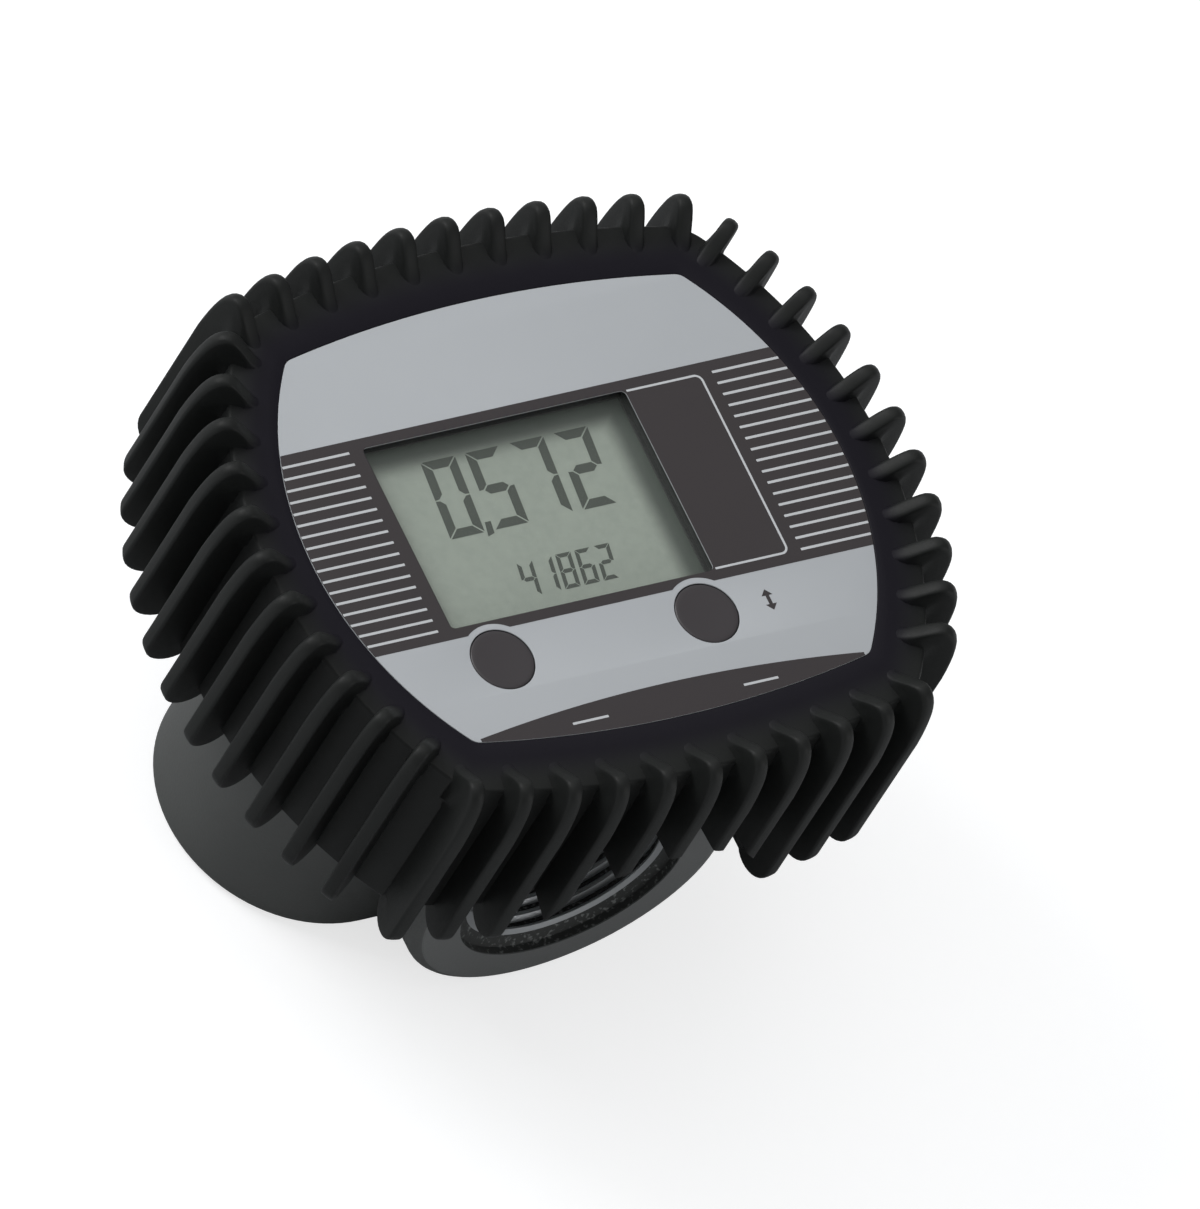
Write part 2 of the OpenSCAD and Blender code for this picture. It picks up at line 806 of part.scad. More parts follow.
// Perforated disc at the bottom of the inlet socket
module inlet_strainer() {
    color("#c4c6c4") port_side(1) translate([0, 0, strainer_seat_y]) difference() {
        cylinder(r = strainer_r, h = strainer_t);
        for (i = [-strainer_rows : strainer_rows], j = [-strainer_rows : strainer_rows])
            if (norm([i, j]) * strainer_pitch < strainer_r - strainer_ring_w - strainer_hole_r)
                translate([i * strainer_pitch, j * strainer_pitch, -cut])
                    cylinder(r = strainer_hole_r, h = strainer_t + 2 * cut);
    }
}

module strainer_ring() {
    color("#26282a") port_side(1) translate([0, 0, strainer_seat_y + strainer_t]) difference() {
        cylinder(r = strainer_r, h = strainer_ring_t);
        translate([0, 0, -cut]) cylinder(r = strainer_r - strainer_ring_w, h = strainer_ring_t + 2 * cut);
    }
}

rubber_boot();
face_label();
front_cover();
display_window();
window_gasket();
lcd_panel();
lcd_holder();
contact_strips();
circuit_board();
board_chips();
board_screws();
button_switches();
reset_button();
rate_button();
reed_switches();
battery_holder();
battery_contacts();
batteries();
housing_seal();
display_housing();
front_cover_screws();
housing_screws();
chamber_cover();
cover_screws();
cover_seal();
meter_body();
gear_shafts();
thrust_washers();
left_gear();
left_gear_bush();
left_gear_magnets();
right_gear();
right_gear_bush();
right_gear_magnets();
inlet_strainer();
strainer_ring();
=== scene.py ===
"""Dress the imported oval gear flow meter: rubber boot, printed face, display, cast body and its inside."""
import logging
from dataclasses import dataclass
from enum import Enum
from math import acos, asin, atan2, cos, degrees, hypot, pi, radians, sin, sqrt
from typing import NamedTuple

import bmesh
import bpy
from bpy.types import Material, Node, NodeSocket, NodeTree, Object
from mathutils import Matrix, Vector


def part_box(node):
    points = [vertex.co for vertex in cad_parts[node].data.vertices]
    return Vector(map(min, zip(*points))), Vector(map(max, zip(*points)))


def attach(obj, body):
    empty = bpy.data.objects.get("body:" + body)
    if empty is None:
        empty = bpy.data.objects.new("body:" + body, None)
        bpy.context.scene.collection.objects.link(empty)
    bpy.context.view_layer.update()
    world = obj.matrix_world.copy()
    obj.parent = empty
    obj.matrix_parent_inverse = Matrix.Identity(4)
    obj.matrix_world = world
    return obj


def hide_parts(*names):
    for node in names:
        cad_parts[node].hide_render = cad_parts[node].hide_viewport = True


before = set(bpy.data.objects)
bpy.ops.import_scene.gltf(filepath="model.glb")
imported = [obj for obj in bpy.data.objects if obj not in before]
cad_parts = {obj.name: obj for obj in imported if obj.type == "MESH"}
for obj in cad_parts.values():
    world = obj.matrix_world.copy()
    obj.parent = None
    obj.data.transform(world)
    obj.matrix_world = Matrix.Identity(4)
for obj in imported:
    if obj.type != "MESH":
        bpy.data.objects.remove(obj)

log = logging.getLogger("flow_meter")
MM = 0.001
Point = tuple[float, float]
Spot = tuple[float, float, float]
Quad = tuple[float, float, float, float]
Skin = tuple[list[Spot], list[tuple[int, ...]]]
# Sockets of a Mix node set to colour: its share, its two tones and the tone that comes out
SHARE, FIRST, SECOND, TONE = 0, 6, 7, 2


def linear(colour: str) -> tuple[float, float, float, float]:
    """Turn an sRGB hex colour into linear light.

    Args:
        colour: Six hex digits after a hash sign.

    Returns:
        Red, green, blue and an alpha of one.
    """
    parts = [int(colour[i:i + 2], 16) / 255 for i in (1, 3, 5)]
    return tuple(p / 12.92 if p <= 0.04045 else ((p + 0.055) / 1.055) ** 2.4 for p in parts) + (1.0,)


def per(size_mm: float) -> float:
    """Texture scale whose pattern repeats about every size_mm."""
    return 1.0 / (size_mm * MM)


def feed(node: Node, inputs: dict) -> None:
    """Fill input sockets of a node.

    Args:
        node: The node.
        inputs: A value, or an output socket to join, for each input socket named or numbered.
    """
    for socket, value in inputs.items():
        if isinstance(value, NodeSocket):
            node.id_data.links.new(value, node.inputs[socket])
        else:
            node.inputs[socket].default_value = value


def add(tree: NodeTree, kind: str, inputs: dict | None = None, out: int | str = 0,
        **settings: object) -> NodeSocket:
    """Add one node to a tree with its settings and links.

    Args:
        tree: Node tree that takes the node.
        kind: Blender's name of the node type, after its ShaderNode.
        inputs: What feeds its input sockets.
        out: Name or number of the output to hand back.
        settings: Properties of the node itself.

    Returns:
        The chosen output socket.
    """
    made = tree.nodes.new("ShaderNode" + kind)
    for key, value in settings.items():
        setattr(made, key, value)
    feed(made, inputs or {})
    return made.outputs[out]


class Lay(Enum):
    """Direction of the fine marks on a surface, as how much each axis stretches the pattern."""

    EVEN = (1.0, 1.0, 1.0)
    ALONG_X = (0.04, 1.0, 1.0)
    ROUND_Z = (0.3, 0.3, 1.0)


class Draft(NamedTuple):
    """A material being built: its node tree, its Principled shader and the object coordinates."""

    tree: NodeTree
    shader: Node
    place: NodeSocket


@dataclass(frozen=True)
class Finish:
    """A finish: the real material, its tones and the grain that its making left.

    The base class does evenly moulded or cast surfaces; the others add what is theirs.
    """

    name: str
    colour: str
    second: str
    roughness: float
    patch_mm: float = 6.0
    grain_mm: float = 0.3
    depth_mm: float = 0.006
    ior: float = 1.5
    sheen: float = 0.5
    metallic: float = 0.0
    lay: Lay = Lay.EVEN
    vary: float = 0.06

    def material(self) -> Material:
        """Build the material once and hand out the same one after that.

        Returns:
            The node material of this finish.
        """
        known = bpy.data.materials.get(self.name)
        if known:
            return known
        made = bpy.data.materials.new(self.name)
        made.use_nodes = True
        made.diffuse_color = linear(self.colour)
        shader = made.node_tree.nodes["Principled BSDF"]
        feed(shader, {"Roughness": self.roughness, "Metallic": self.metallic,
                      "Specular IOR Level": self.sheen})
        if not self.metallic:
            feed(shader, {"IOR": self.ior})
        self.dress(Draft(made.node_tree, shader, add(made.node_tree, "TexCoord", out="Object")))
        return made

    def tones(self, draft: Draft) -> NodeSocket:
        """Mix the two tones in soft patches.

        Args:
            draft: Material being built.

        Returns:
            The colour socket.
        """
        tree, _, place = draft
        cloud = add(tree, "TexNoise", {"Vector": place, "Scale": per(self.patch_mm), "Detail": 4.0}, "Fac")
        return add(tree, "Mix", {SHARE: cloud, FIRST: linear(self.colour), SECOND: linear(self.second)},
                   TONE, data_type="RGBA")

    def grain(self, draft: Draft) -> None:
        """Give the surface its grain as bump and as a little spread of roughness.

        Args:
            draft: Material being built.
        """
        tree, shader, place = draft
        turned = add(tree, "Mapping", {"Vector": place, "Scale": self.lay.value})
        noise = add(tree, "TexNoise", {"Vector": turned, "Scale": per(self.grain_mm), "Detail": 3.0}, "Fac")
        bump = add(tree, "Bump", {"Height": noise, "Strength": 1.0, "Distance": self.depth_mm * MM})
        spread = add(tree, "MapRange", {"Value": noise, "To Min": self.roughness - self.vary,
                                        "To Max": self.roughness + self.vary})
        feed(shader, {"Normal": bump, "Roughness": spread})

    def dress(self, draft: Draft) -> None:
        """Fill the material's node tree; finishes with more to them replace this."""
        feed(draft.shader, {"Base Color": self.tones(draft)})
        self.grain(draft)


@dataclass(frozen=True)
class Face:
    """Outline of four shallow arcs through its corners, in millimetres; soft is the corners' radius.

    The centre of a corner's rounding is found by halving an angle so many times.
    """

    corner_x: float = 34.0
    corner_y: float = 33.8
    bulge_x: float = 10.6
    bulge_y: float = 3.9
    soft: float = 0.0
    top: float = 74.0
    halvings: int = 40

    @property
    def side(self) -> tuple[float, float, float]:
        """Centre, radius and half angle of the right-hand arc."""
        radius = (self.corner_y ** 2 + self.bulge_x ** 2) / (2 * self.bulge_x)
        return self.corner_x + self.bulge_x - radius, radius, asin(self.corner_y / radius)

    @property
    def end(self) -> tuple[float, float, float]:
        """Centre, radius and half angle of the upper arc."""
        radius = (self.corner_x ** 2 + self.bulge_y ** 2) / (2 * self.bulge_y)
        return self.corner_y + self.bulge_y - radius, radius, asin(self.corner_x / radius)

    @property
    def hub(self) -> Point:
        """Centre of the corner's rounding: where both arcs, moved inward by its radius, cross.

        Returns:
            The centre, in millimetres.
        """
        sx, sr, high = self.side
        ey, er, _ = self.end
        low = 0.0
        for _ in range(self.halvings):
            a = (low + high) / 2
            x, y = sx + (sr - self.soft) * cos(a), (sr - self.soft) * sin(a)
            low, high = (a, high) if hypot(x, y - ey) < er - self.soft else (low, a)
        return x, y

    def walk(self, steps: int = 40, corner: int = 8) -> list[tuple[Point, Point]]:
        """Points of the outline with their outward directions, counter-clockwise from the right.

        Args:
            steps: Steps on each arc.
            corner: Steps of the fan at each corner.

        Returns:
            Pairs of point and outward direction.
        """
        sx, sr, _ = self.side
        ey, er, _ = self.end
        hx, hy = self.hub
        sa, ea = atan2(hy, hx - sx), atan2(hx, hy - ey)
        half, last = steps // 2, pi / 2 - ea
        turns = [(sx, 0.0, sr, sa * i / half) for i in range(half + 1)]
        turns += [(hx, hy, self.soft, sa + (last - sa) * i / corner) for i in range(1, corner)]
        turns += [(0.0, ey, er, last + ea * i / half) for i in range(half + 1)]
        upper = [((x + r * cos(a), y + r * sin(a)), (cos(a), sin(a))) for x, y, r, a in turns]
        upper += [((-x, y), (-u, v)) for (x, y), (u, v) in reversed(upper[:-1])]
        return upper + [((x, -y), (u, -v)) for (x, y), (u, v) in reversed(upper[1:-1])]

    def ring(self, grow: float) -> list[Point]:
        """Closed outline, moved outward by grow in millimetres."""
        return [(p[0] + n[0] * grow, p[1] + n[1] * grow) for p, n in self.walk()]

    def side_x(self, y: float, inset: float = 0.0) -> float:
        """Half width of the face at a height y."""
        sx, sr, _ = self.side
        return sx + sqrt((sr - inset) ** 2 - y * y)

    def end_y(self, x: float, inset: float = 0.0) -> float:
        """Half height of the face at a distance x from its middle."""
        ey, er, _ = self.end
        return ey + sqrt((er - inset) ** 2 - x * x)


FACE = Face()
LABEL = Face(34.37, 33.8, 11.7, 3.13, 2.4)


@dataclass(frozen=True)
class BootRubber(Finish):
    """Moulded nitrile rubber, matt from the mould's fine blasting: soft broad highlights, never a glint.

    The lip beside the label is painted blacker, with a slight violet tint: painted shade round the label's
    edge.
    """

    # Painted shade on the lip round the label: its tone, how far it reaches and how it fades
    bloom: str = "#0f0d16"
    bloom_mm: float = 5.0
    fade_mm: float = 2.6
    full_z: float = 74.2
    none_z: float = 75.5

    def tones(self, draft: Draft) -> NodeSocket:
        """Add the painted shade by the distance from the label's edge, worked out from the outline's arcs.

        Args:
            draft: Material being built.

        Returns:
            The colour socket.
        """
        tree, _, place = draft
        folded = add(tree, "VectorMath", {0: place}, operation="ABSOLUTE")
        flat = add(tree, "VectorMath", {0: folded, 1: (1, 1, 0)}, operation="MULTIPLY")
        far = []
        for (centre, radius, _), axis in ((LABEL.side, Vector((1, 0, 0))), (LABEL.end, Vector((0, 1, 0)))):
            moved = add(tree, "VectorMath", {0: flat, 1: -centre * MM * axis}, operation="ADD")
            reach = add(tree, "VectorMath", {0: moved}, "Value", operation="LENGTH")
            far.append(add(tree, "Math", {0: reach, 1: radius * MM}, operation="SUBTRACT"))
        most = add(tree, "Math", {0: far[0], 1: far[1]}, operation="MAXIMUM")
        near = add(tree, "MapRange", {"Value": most, "From Min": (self.bloom_mm + self.fade_mm) * MM,
                                      "From Max": (self.bloom_mm - self.fade_mm) * MM},
                   interpolation_type="SMOOTHSTEP")
        height = add(tree, "SeparateXYZ", {0: place}, "Z")
        low = add(tree, "MapRange", {"Value": height, "From Min": self.none_z * MM,
                                     "From Max": self.full_z * MM})
        # Share of the painted shade: near the label's edge and low on the lip
        share = add(tree, "Math", {0: low, 1: near}, operation="MULTIPLY")
        return add(tree, "Mix", {SHARE: share, FIRST: super().tones(draft), SECOND: linear(self.bloom)},
                   TONE, data_type="RGBA")


@dataclass(frozen=True)
class PowderCoat(Finish):
    """Fine-textured powder coat on cast aluminium, cut away where the ports were bored and tapped.

    The coat scatters light softly; the cut threads are bright bare metal, and the recess before them is a
    darker tone with paler specks that are painted glints, drawn coarser than they are so that they show.
    """

    bare: str = "#b4b7b9"
    polish: float = 0.42
    # Lighter tone of the port's end face: painted light for the light that falls on it
    rim: str = "#626464"
    # Darker tone inside the port's mouth, and its paler specks, which are painted glints
    grain_tone: str = "#262827"
    speck: str = "#676a69"
    speck_mm: float = 0.7
    speck_range: tuple[float, float] = (0.56, 0.66)
    port_z: float = 27.0
    recess_r: float = 18.45
    bore_r: float = 16.35
    ledge_y: float = 23.0
    mouth_y: float = 36.3
    face_y: float = 37.2

    def dress(self, draft: Draft) -> None:
        """Mask the rims, recesses and bores by their distance along and from the ports' axis.

        Args:
            draft: Material being built.
        """
        tree, shader, place = draft
        along = add(tree, "Math", {0: add(tree, "SeparateXYZ", {0: place}, "Y")}, operation="ABSOLUTE")
        centred = add(tree, "VectorMath", {0: place, 1: (0, 0, -self.port_z * MM)}, operation="ADD")
        across = add(tree, "VectorMath", {0: centred, 1: (1, 0, 1)}, operation="MULTIPLY")
        reach = add(tree, "VectorMath", {0: across}, "Value", operation="LENGTH")
        tests = ((reach, "LESS_THAN", self.bore_r), (reach, "LESS_THAN", self.recess_r),
                 (along, "LESS_THAN", self.mouth_y), (along, "GREATER_THAN", self.ledge_y),
                 (along, "GREATER_THAN", self.face_y))
        in_bore, in_recess, before_mouth, past_ledge, on_rim = (
            add(tree, "Math", {0: value, 1: limit * MM}, operation=test) for value, test, limit in tests)
        both = add(tree, "Math", {0: in_bore, 1: before_mouth}, operation="MULTIPLY")
        cut = add(tree, "Math", {0: both, 1: past_ledge}, operation="MULTIPLY")
        recess = add(tree, "Math", {0: in_recess, 1: on_rim}, operation="SUBTRACT", use_clamp=True)
        # Painted glints: paler specks over the darker tone of the recess
        cloud = add(tree, "TexNoise", {"Vector": place, "Scale": per(self.speck_mm), "Detail": 5.0}, "Fac")
        start, full = self.speck_range
        specks = add(tree, "MapRange", {"Value": cloud, "From Min": start, "From Max": full})
        rough_cast = add(tree, "Mix", {SHARE: specks, FIRST: linear(self.grain_tone),
                                       SECOND: linear(self.speck)}, TONE, data_type="RGBA")
        colour = self.tones(draft)
        # Painted light on the end face, then the recess's darker tone with its painted glints, then the bare
        # metal
        for share, tone in ((on_rim, linear(self.rim)), (recess, rough_cast), (cut, linear(self.bare))):
            colour = add(tree, "Mix", {SHARE: share, FIRST: colour, SECOND: tone}, TONE, data_type="RGBA")
        feed(shader, {"Base Color": colour, "Metallic": cut})
        self.grain(draft)
        coat = shader.inputs["Roughness"].links[0].from_socket
        feed(shader, {"Roughness": add(tree, "Mix", {"Factor": cut, "A": coat, "B": self.polish})})


@dataclass(frozen=True)
class ClearPane(Finish):
    """Clear moulded acrylic: almost all light passes, and a faint even sheen is what shows of it."""

    alpha: float = 0.04

    def dress(self, draft: Draft) -> None:
        """Add the base look and let the light through."""
        super().dress(draft)
        feed(draft.shader, {"Alpha": self.alpha})


@dataclass(frozen=True)
class LiquidCrystal(Finish):
    """Reflective liquid crystal glass: grey-green, finely speckled by the diffuser foil behind it.

    Towards the upper and right-hand border a painted shadow of the holder's wall, which stands over it,
    darkens it.
    """

    # Painted shadow of the holder's wall on the crystal: its tone, its strength and where it fades in
    shade: str = "#28302a"
    dim: float = 0.85
    right_x: float = 16.7
    upper_y: float = 17.5
    fade_mm: float = 5.2
    full_mm: float = 1.5

    def tones(self, draft: Draft) -> NodeSocket:
        """Darken the flecked tones towards the two borders with the painted shadow.

        Args:
            draft: Material being built.

        Returns:
            The colour socket.
        """
        tree, _, place = draft
        fades = []
        for axis, edge in (("X", self.right_x), ("Y", self.upper_y)):
            along = add(tree, "SeparateXYZ", {0: place}, axis)
            fades.append(add(tree, "MapRange", {"Value": along, "From Min": (edge - self.fade_mm) * MM,
                                                "From Max": (edge - self.full_mm) * MM},
                             interpolation_type="SMOOTHSTEP"))
        most = add(tree, "Math", {0: fades[0], 1: fades[1]}, operation="MAXIMUM")
        share = add(tree, "Math", {0: most, 1: self.dim}, operation="MULTIPLY")
        return add(tree, "Mix", {SHARE: share, FIRST: super().tones(draft), SECOND: linear(self.shade)},
                   TONE, data_type="RGBA")


@dataclass(frozen=True)
class Striped(Finish):
    """Layers or windings that repeat along one axis: conductive elastomer, printed sleeves, copper tracks."""

    pitch_mm: float = 1.0
    share: float = 0.5
    blur: float = 0.08
    bands: str = "X"

    def dress(self, draft: Draft) -> None:
        """Mix the two colours in bands and raise the bands slightly.

        Args:
            draft: Material being built.
        """
        tree, shader, place = draft
        # one wave spans pi/10 of the texture's unit, so the scale turns the pitch into that
        wave = add(tree, "TexWave", {"Vector": place, "Scale": per(self.pitch_mm) * pi / 10,
                                     "Distortion": 0.0}, "Fac", bands_direction=self.bands)
        step = add(tree, "MapRange", {"Value": wave, "From Min": self.share - self.blur,
                                      "From Max": self.share + self.blur})
        tone = add(tree, "Mix", {SHARE: step, FIRST: linear(self.colour), SECOND: linear(self.second)},
                   TONE, data_type="RGBA")
        bump = add(tree, "Bump", {"Height": step, "Distance": self.depth_mm * MM})
        feed(shader, {"Base Color": tone, "Normal": bump})


# Finishes seen from outside
BOOT = BootRubber("moulded_nitrile_rubber", "#1a1b1b", "#212322", 0.5, patch_mm=9, grain_mm=0.35,
                  depth_mm=0.012, ior=1.38, sheen=0.24)
# Film with its tone printed behind it: an even satin sheen over the whole face
FILM = Finish("satin_polycarbonate_film", "#a6aaae", "#abafb3", 0.42, patch_mm=14, grain_mm=0.25,
              depth_mm=0.002)
# Inks screened flat on the film, a little duller than it
DARK_INK = Finish("screen_printed_dark_ink", "#2b2628", "#2e292b", 0.45, patch_mm=10, depth_mm=0.002)
LIGHT_INK = Finish("screen_printed_light_ink", "#b6b9bc", "#bcbfc2", 0.45, patch_mm=5, depth_mm=0.002)
PANE = ClearPane("clear_moulded_acrylic", "#c6cec9", "#cad2cd", 0.1, patch_mm=20, grain_mm=4.0,
                 depth_mm=0.004, ior=1.49, vary=0.02)
CRYSTAL = LiquidCrystal("liquid_crystal_glass", "#838c83", "#939c91", 0.4, patch_mm=1.4, grain_mm=0.25,
                        depth_mm=0.001)
# Crystal turned dark: flat grey-green bars without a glint
SEGMENT = Finish("liquid_crystal_segment", "#252d25", "#2b332a", 0.45, patch_mm=3, grain_mm=0.25,
                 depth_mm=0.001)
# Fine-sparked key: the lamps spread evenly over its dish
BUTTON = Finish("moulded_keycap_abs", "#2c282b", "#302c2f", 0.42, grain_mm=0.25, depth_mm=0.003, ior=1.53)
CAST = PowderCoat("powder_coated_cast_aluminium", "#454746", "#4d4f4e", 0.5, patch_mm=16, grain_mm=0.45,
                  depth_mm=0.03)
# Milled flat: fine parallel marks that draw the glints out
COVER = Finish("machined_cast_aluminium", "#8a8c8e", "#989a9c", 0.36, patch_mm=12, grain_mm=0.2,
               depth_mm=0.004, metallic=1.0, lay=Lay.ALONG_X)
# Dull black from the glass in the nylon
CASING = Finish("moulded_glass_filled_nylon", "#222323", "#292a2a", 0.5, patch_mm=8)

# Finishes of the parts that both gears have
# Cream and slightly waxy
ACETAL = Finish("machined_acetal", "#c7b797", "#d2c3a6", 0.4, grain_mm=0.4)
# Dark grey with a fine dry grain
CARBON = Finish("pressed_carbon", "#28282a", "#353538", 0.48, grain_mm=0.15, depth_mm=0.005)
# Bright and smooth, nearly a mirror
MAGNET = Finish("nickel_plated_magnet", "#a7abb0", "#b6babf", 0.2, grain_mm=0.5, depth_mm=0.002, metallic=1.0)
# Bright cool grey with a faint crystal grain
PLATED = Finish("zinc_plated_steel", "#a9acae", "#bcbec0", 0.3, patch_mm=2, depth_mm=0.003, metallic=1.0)
HANDS = ("left", "right")

# Finish of every node that keeps its solid
KEPT = {
    "front_cover": CASING,
    "display_housing": CASING,
    "display_window": PANE,
    "lcd_panel": CRYSTAL,
    # Open pores swallow the light
    "window_gasket": Finish("die_cut_foam_rubber", "#1a1a1b", "#242425", 0.75, grain_mm=0.4, depth_mm=0.02),
    # Soft cord with a waxy sheen
    "housing_seal": Finish("moulded_silicone_cord", "#17181c", "#1e1f24", 0.55, grain_mm=0.5, depth_mm=0.004),
    # Firmer and blacker, with a closer sheen
    "cover_seal": Finish("moulded_fluorocarbon_seal", "#141518", "#1c1d20", 0.5, grain_mm=0.5,
                         depth_mm=0.004),
    # Off-white with a low gloss
    "lcd_holder": Finish("moulded_white_polycarbonate", "#ddd8cb", "#e4e0d5", 0.45, grain_mm=0.4,
                         depth_mm=0.005),
    # Thin pink and black layers across the strip
    "contact_strips": Striped("layered_elastomer", "#c86f5a", "#2a2523", 0.6, depth_mm=0.01, pitch_mm=0.6),
    # Green lacquer that rises a little over the tracks
    "circuit_board": Striped("solder_masked_laminate", "#2c6a43", "#347a50", 0.35,
                             depth_mm=0.035, pitch_mm=2.2, share=0.7, bands="Y"),
    # Matt black with a fine mould grain
    "board_chips": Finish("moulded_epoxy", "#242628", "#2e3032", 0.55, grain_mm=0.2),
    # Even dark grey
    "button_switches": Finish("moulded_switch_nylon", "#393b3e", "#424448", 0.5, grain_mm=0.2,
                              depth_mm=0.004),
    # Smooth pale green with bright glints
    "reed_switches": Finish("drawn_capsule_glass", "#b5ccc0", "#c2d6cb", 0.12, grain_mm=1.5, depth_mm=0.004),
    # Black with a soft sheen
    "battery_holder": Finish("moulded_black_nylon", "#1d1f20", "#262829", 0.5),
    # Warm bright metal with marks along the strip
    "battery_contacts": Finish("nickel_plated_strip", "#b8b4a8", "#c6c2b6", 0.28, grain_mm=0.2,
                               depth_mm=0.003, metallic=1.0, lay=Lay.ALONG_X),
    # Glossy blue sleeve with a pale band
    "batteries": Striped("printed_shrink_sleeve", "#3a6a96", "#d9dcdd", 0.3, depth_mm=0.01, pitch_mm=22.0,
                         share=0.86, bands="Y"),
    "chamber_cover": COVER,
    "meter_body": CAST,
    # Ground round: tight glints along the shaft
    "gear_shafts": Finish("ground_stainless_steel", "#b6b9bb", "#c4c7c9", 0.22, grain_mm=0.15, depth_mm=0.002,
                          metallic=1.0, lay=Lay.ROUND_Z),
    # Opaque cream with a low sheen
    "thrust_washers": Finish("moulded_peek", "#cfc5a8", "#dbd2b8", 0.45, depth_mm=0.004),
    **{f"{hand}_gear": ACETAL for hand in HANDS},
    **{f"{hand}_gear_bush": CARBON for hand in HANDS},
    **{f"{hand}_gear_magnets": MAGNET for hand in HANDS},
    # Pale even grey from the pickling bath, with faint rolling marks
    "inlet_strainer": Finish("pickled_stainless_sheet", "#c0c2c0", "#cfd1cf", 0.34,
                             depth_mm=0.004, metallic=1.0, lay=Lay.ALONG_X),
    # Black and slightly waxy
    "strainer_ring": Finish("moulded_acetal_ring", "#242628", "#2d2f31", 0.45, depth_mm=0.005),
    **{name: PLATED for name in ("board_screws", "front_cover_screws", "housing_screws", "cover_screws")},
}


def put(name: str, data: bpy.types.ID) -> Object:
    """Make an object of a mesh, camera or light and link it to the scene.

    Args:
        name: Name of the object.
        data: Its mesh, camera or light.

    Returns:
        The linked object.
    """
    made = bpy.data.objects.new(name, data)
    bpy.context.scene.collection.objects.link(made)
    return made


def shape(name: str, points: list[Spot], faces: list[tuple[int, ...]], finish: Finish) -> Object:
    """Make a mesh object from millimetre points.

    Args:
        name: Name of the piece.
        points: Corners in millimetres.
        faces: Corner numbers of each face.
        finish: Finish that it gets.

    Returns:
        The object, in metres.
    """
    mesh = bpy.data.meshes.new(name)
    mesh.from_pydata([(x * MM, y * MM, z * MM) for x, y, z in points], [], faces)
    made = put(name, mesh)
    made.data.materials.append(finish.material())
    return made


def finish_edges(made: Object, merge_mm: float = 0.002, angle: float = 35.0) -> None:
    """Join doubled corners, turn the faces outward and shade smoothly up to an angle.

    Args:
        made: Mesh object.
        merge_mm: Corners nearer than this are joined.
        angle: Edges sharper than this stay sharp.
    """
    work = bmesh.new()
    work.from_mesh(made.data)
    bmesh.ops.remove_doubles(work, verts=work.verts, dist=merge_mm * MM)
    bmesh.ops.recalc_face_normals(work, faces=work.faces)
    work.to_mesh(made.data)
    work.free()
    made.data.polygons.foreach_set("use_smooth", [True] * len(made.data.polygons))
    made.data.set_sharp_from_angle(angle=radians(angle))


def loft(loops: list[list[Spot]], closed: bool = False) -> Skin:
    """Skin a row of loops of the same length.

    Args:
        loops: Closed loops of points.
        closed: Whether the last loop joins the first; otherwise both ends are capped.

    Returns:
        Points and faces.
    """
    count = len(loops[0])
    points = [p for loop in loops for p in loop]
    faces = []
    for i in range(len(loops) if closed else len(loops) - 1):
        a, b = i * count, (i + 1) % len(loops) * count
        faces += [(a + k, a + (k + 1) % count, b + (k + 1) % count, b + k) for k in range(count)]
    if not closed:
        faces.append(tuple(reversed(range(count))))
        faces.append(tuple(range((len(loops) - 1) * count, len(loops) * count)))
    return points, faces


def join(skins: list[Skin]) -> Skin:
    """Put several skins into one.

    Args:
        skins: Points and faces of each.

    Returns:
        All points and faces.
    """
    points, faces = [], []
    for more, skin in skins:
        faces += [tuple(k + len(points) for k in face) for face in skin]
        points += more
    return points, faces


def carve(made: Object, cutter: Object) -> None:
    """Cut one object out of another and leave no modifier behind.

    Args:
        made: Object that is cut.
        cutter: Closed object that cuts it.
    """
    step = made.modifiers.new("carve", "BOOLEAN")
    step.operation, step.solver, step.object = "DIFFERENCE", "EXACT", cutter
    step.use_self = True
    bpy.context.view_layer.update()
    graph = bpy.context.evaluated_depsgraph_get()
    result = bpy.data.meshes.new_from_object(made.evaluated_get(graph))
    made.modifiers.remove(step)
    old, made.data = made.data, result
    bpy.data.meshes.remove(old)


def plate(name: str, loops: list[list[Point]], low: float, high: float, finish: Finish,
          edge: float = 0.0) -> Object:
    """Make a flat plate from an outline and its holes.

    Args:
        name: Name of the piece.
        loops: Outline and holes; a loop inside another is a hole.
        low: Height of the underside in millimetres.
        high: Height of the top in millimetres.
        finish: Finish that it gets.
        edge: Radius of its rounded edges in millimetres.

    Returns:
        The object, in metres.
    """
    curve = bpy.data.curves.new(name, "CURVE")
    curve.dimensions, curve.fill_mode = "2D", "BOTH"
    curve.extrude, curve.bevel_depth = ((high - low) / 2 - edge) * MM, edge * MM
    curve.offset, curve.bevel_resolution = -edge * MM, 3
    for loop in loops:
        line = curve.splines.new("POLY")
        line.points.add(len(loop) - 1)
        for point, (x, y) in zip(line.points, loop):
            point.co = (x * MM, y * MM, 0.0, 1.0)
        line.use_cyclic_u = True
    draft = bpy.data.objects.new(name + "_draft", curve)
    mesh = bpy.data.meshes.new_from_object(draft)
    bpy.data.objects.remove(draft)
    bpy.data.curves.remove(curve)
    mesh.name = name
    mesh.transform(Matrix.Translation((0.0, 0.0, (low + high) / 2 * MM)))
    made = put(name, mesh)
    made.data.materials.clear()
    made.data.materials.append(finish.material())
    finish_edges(made, 0.0005)
    return made


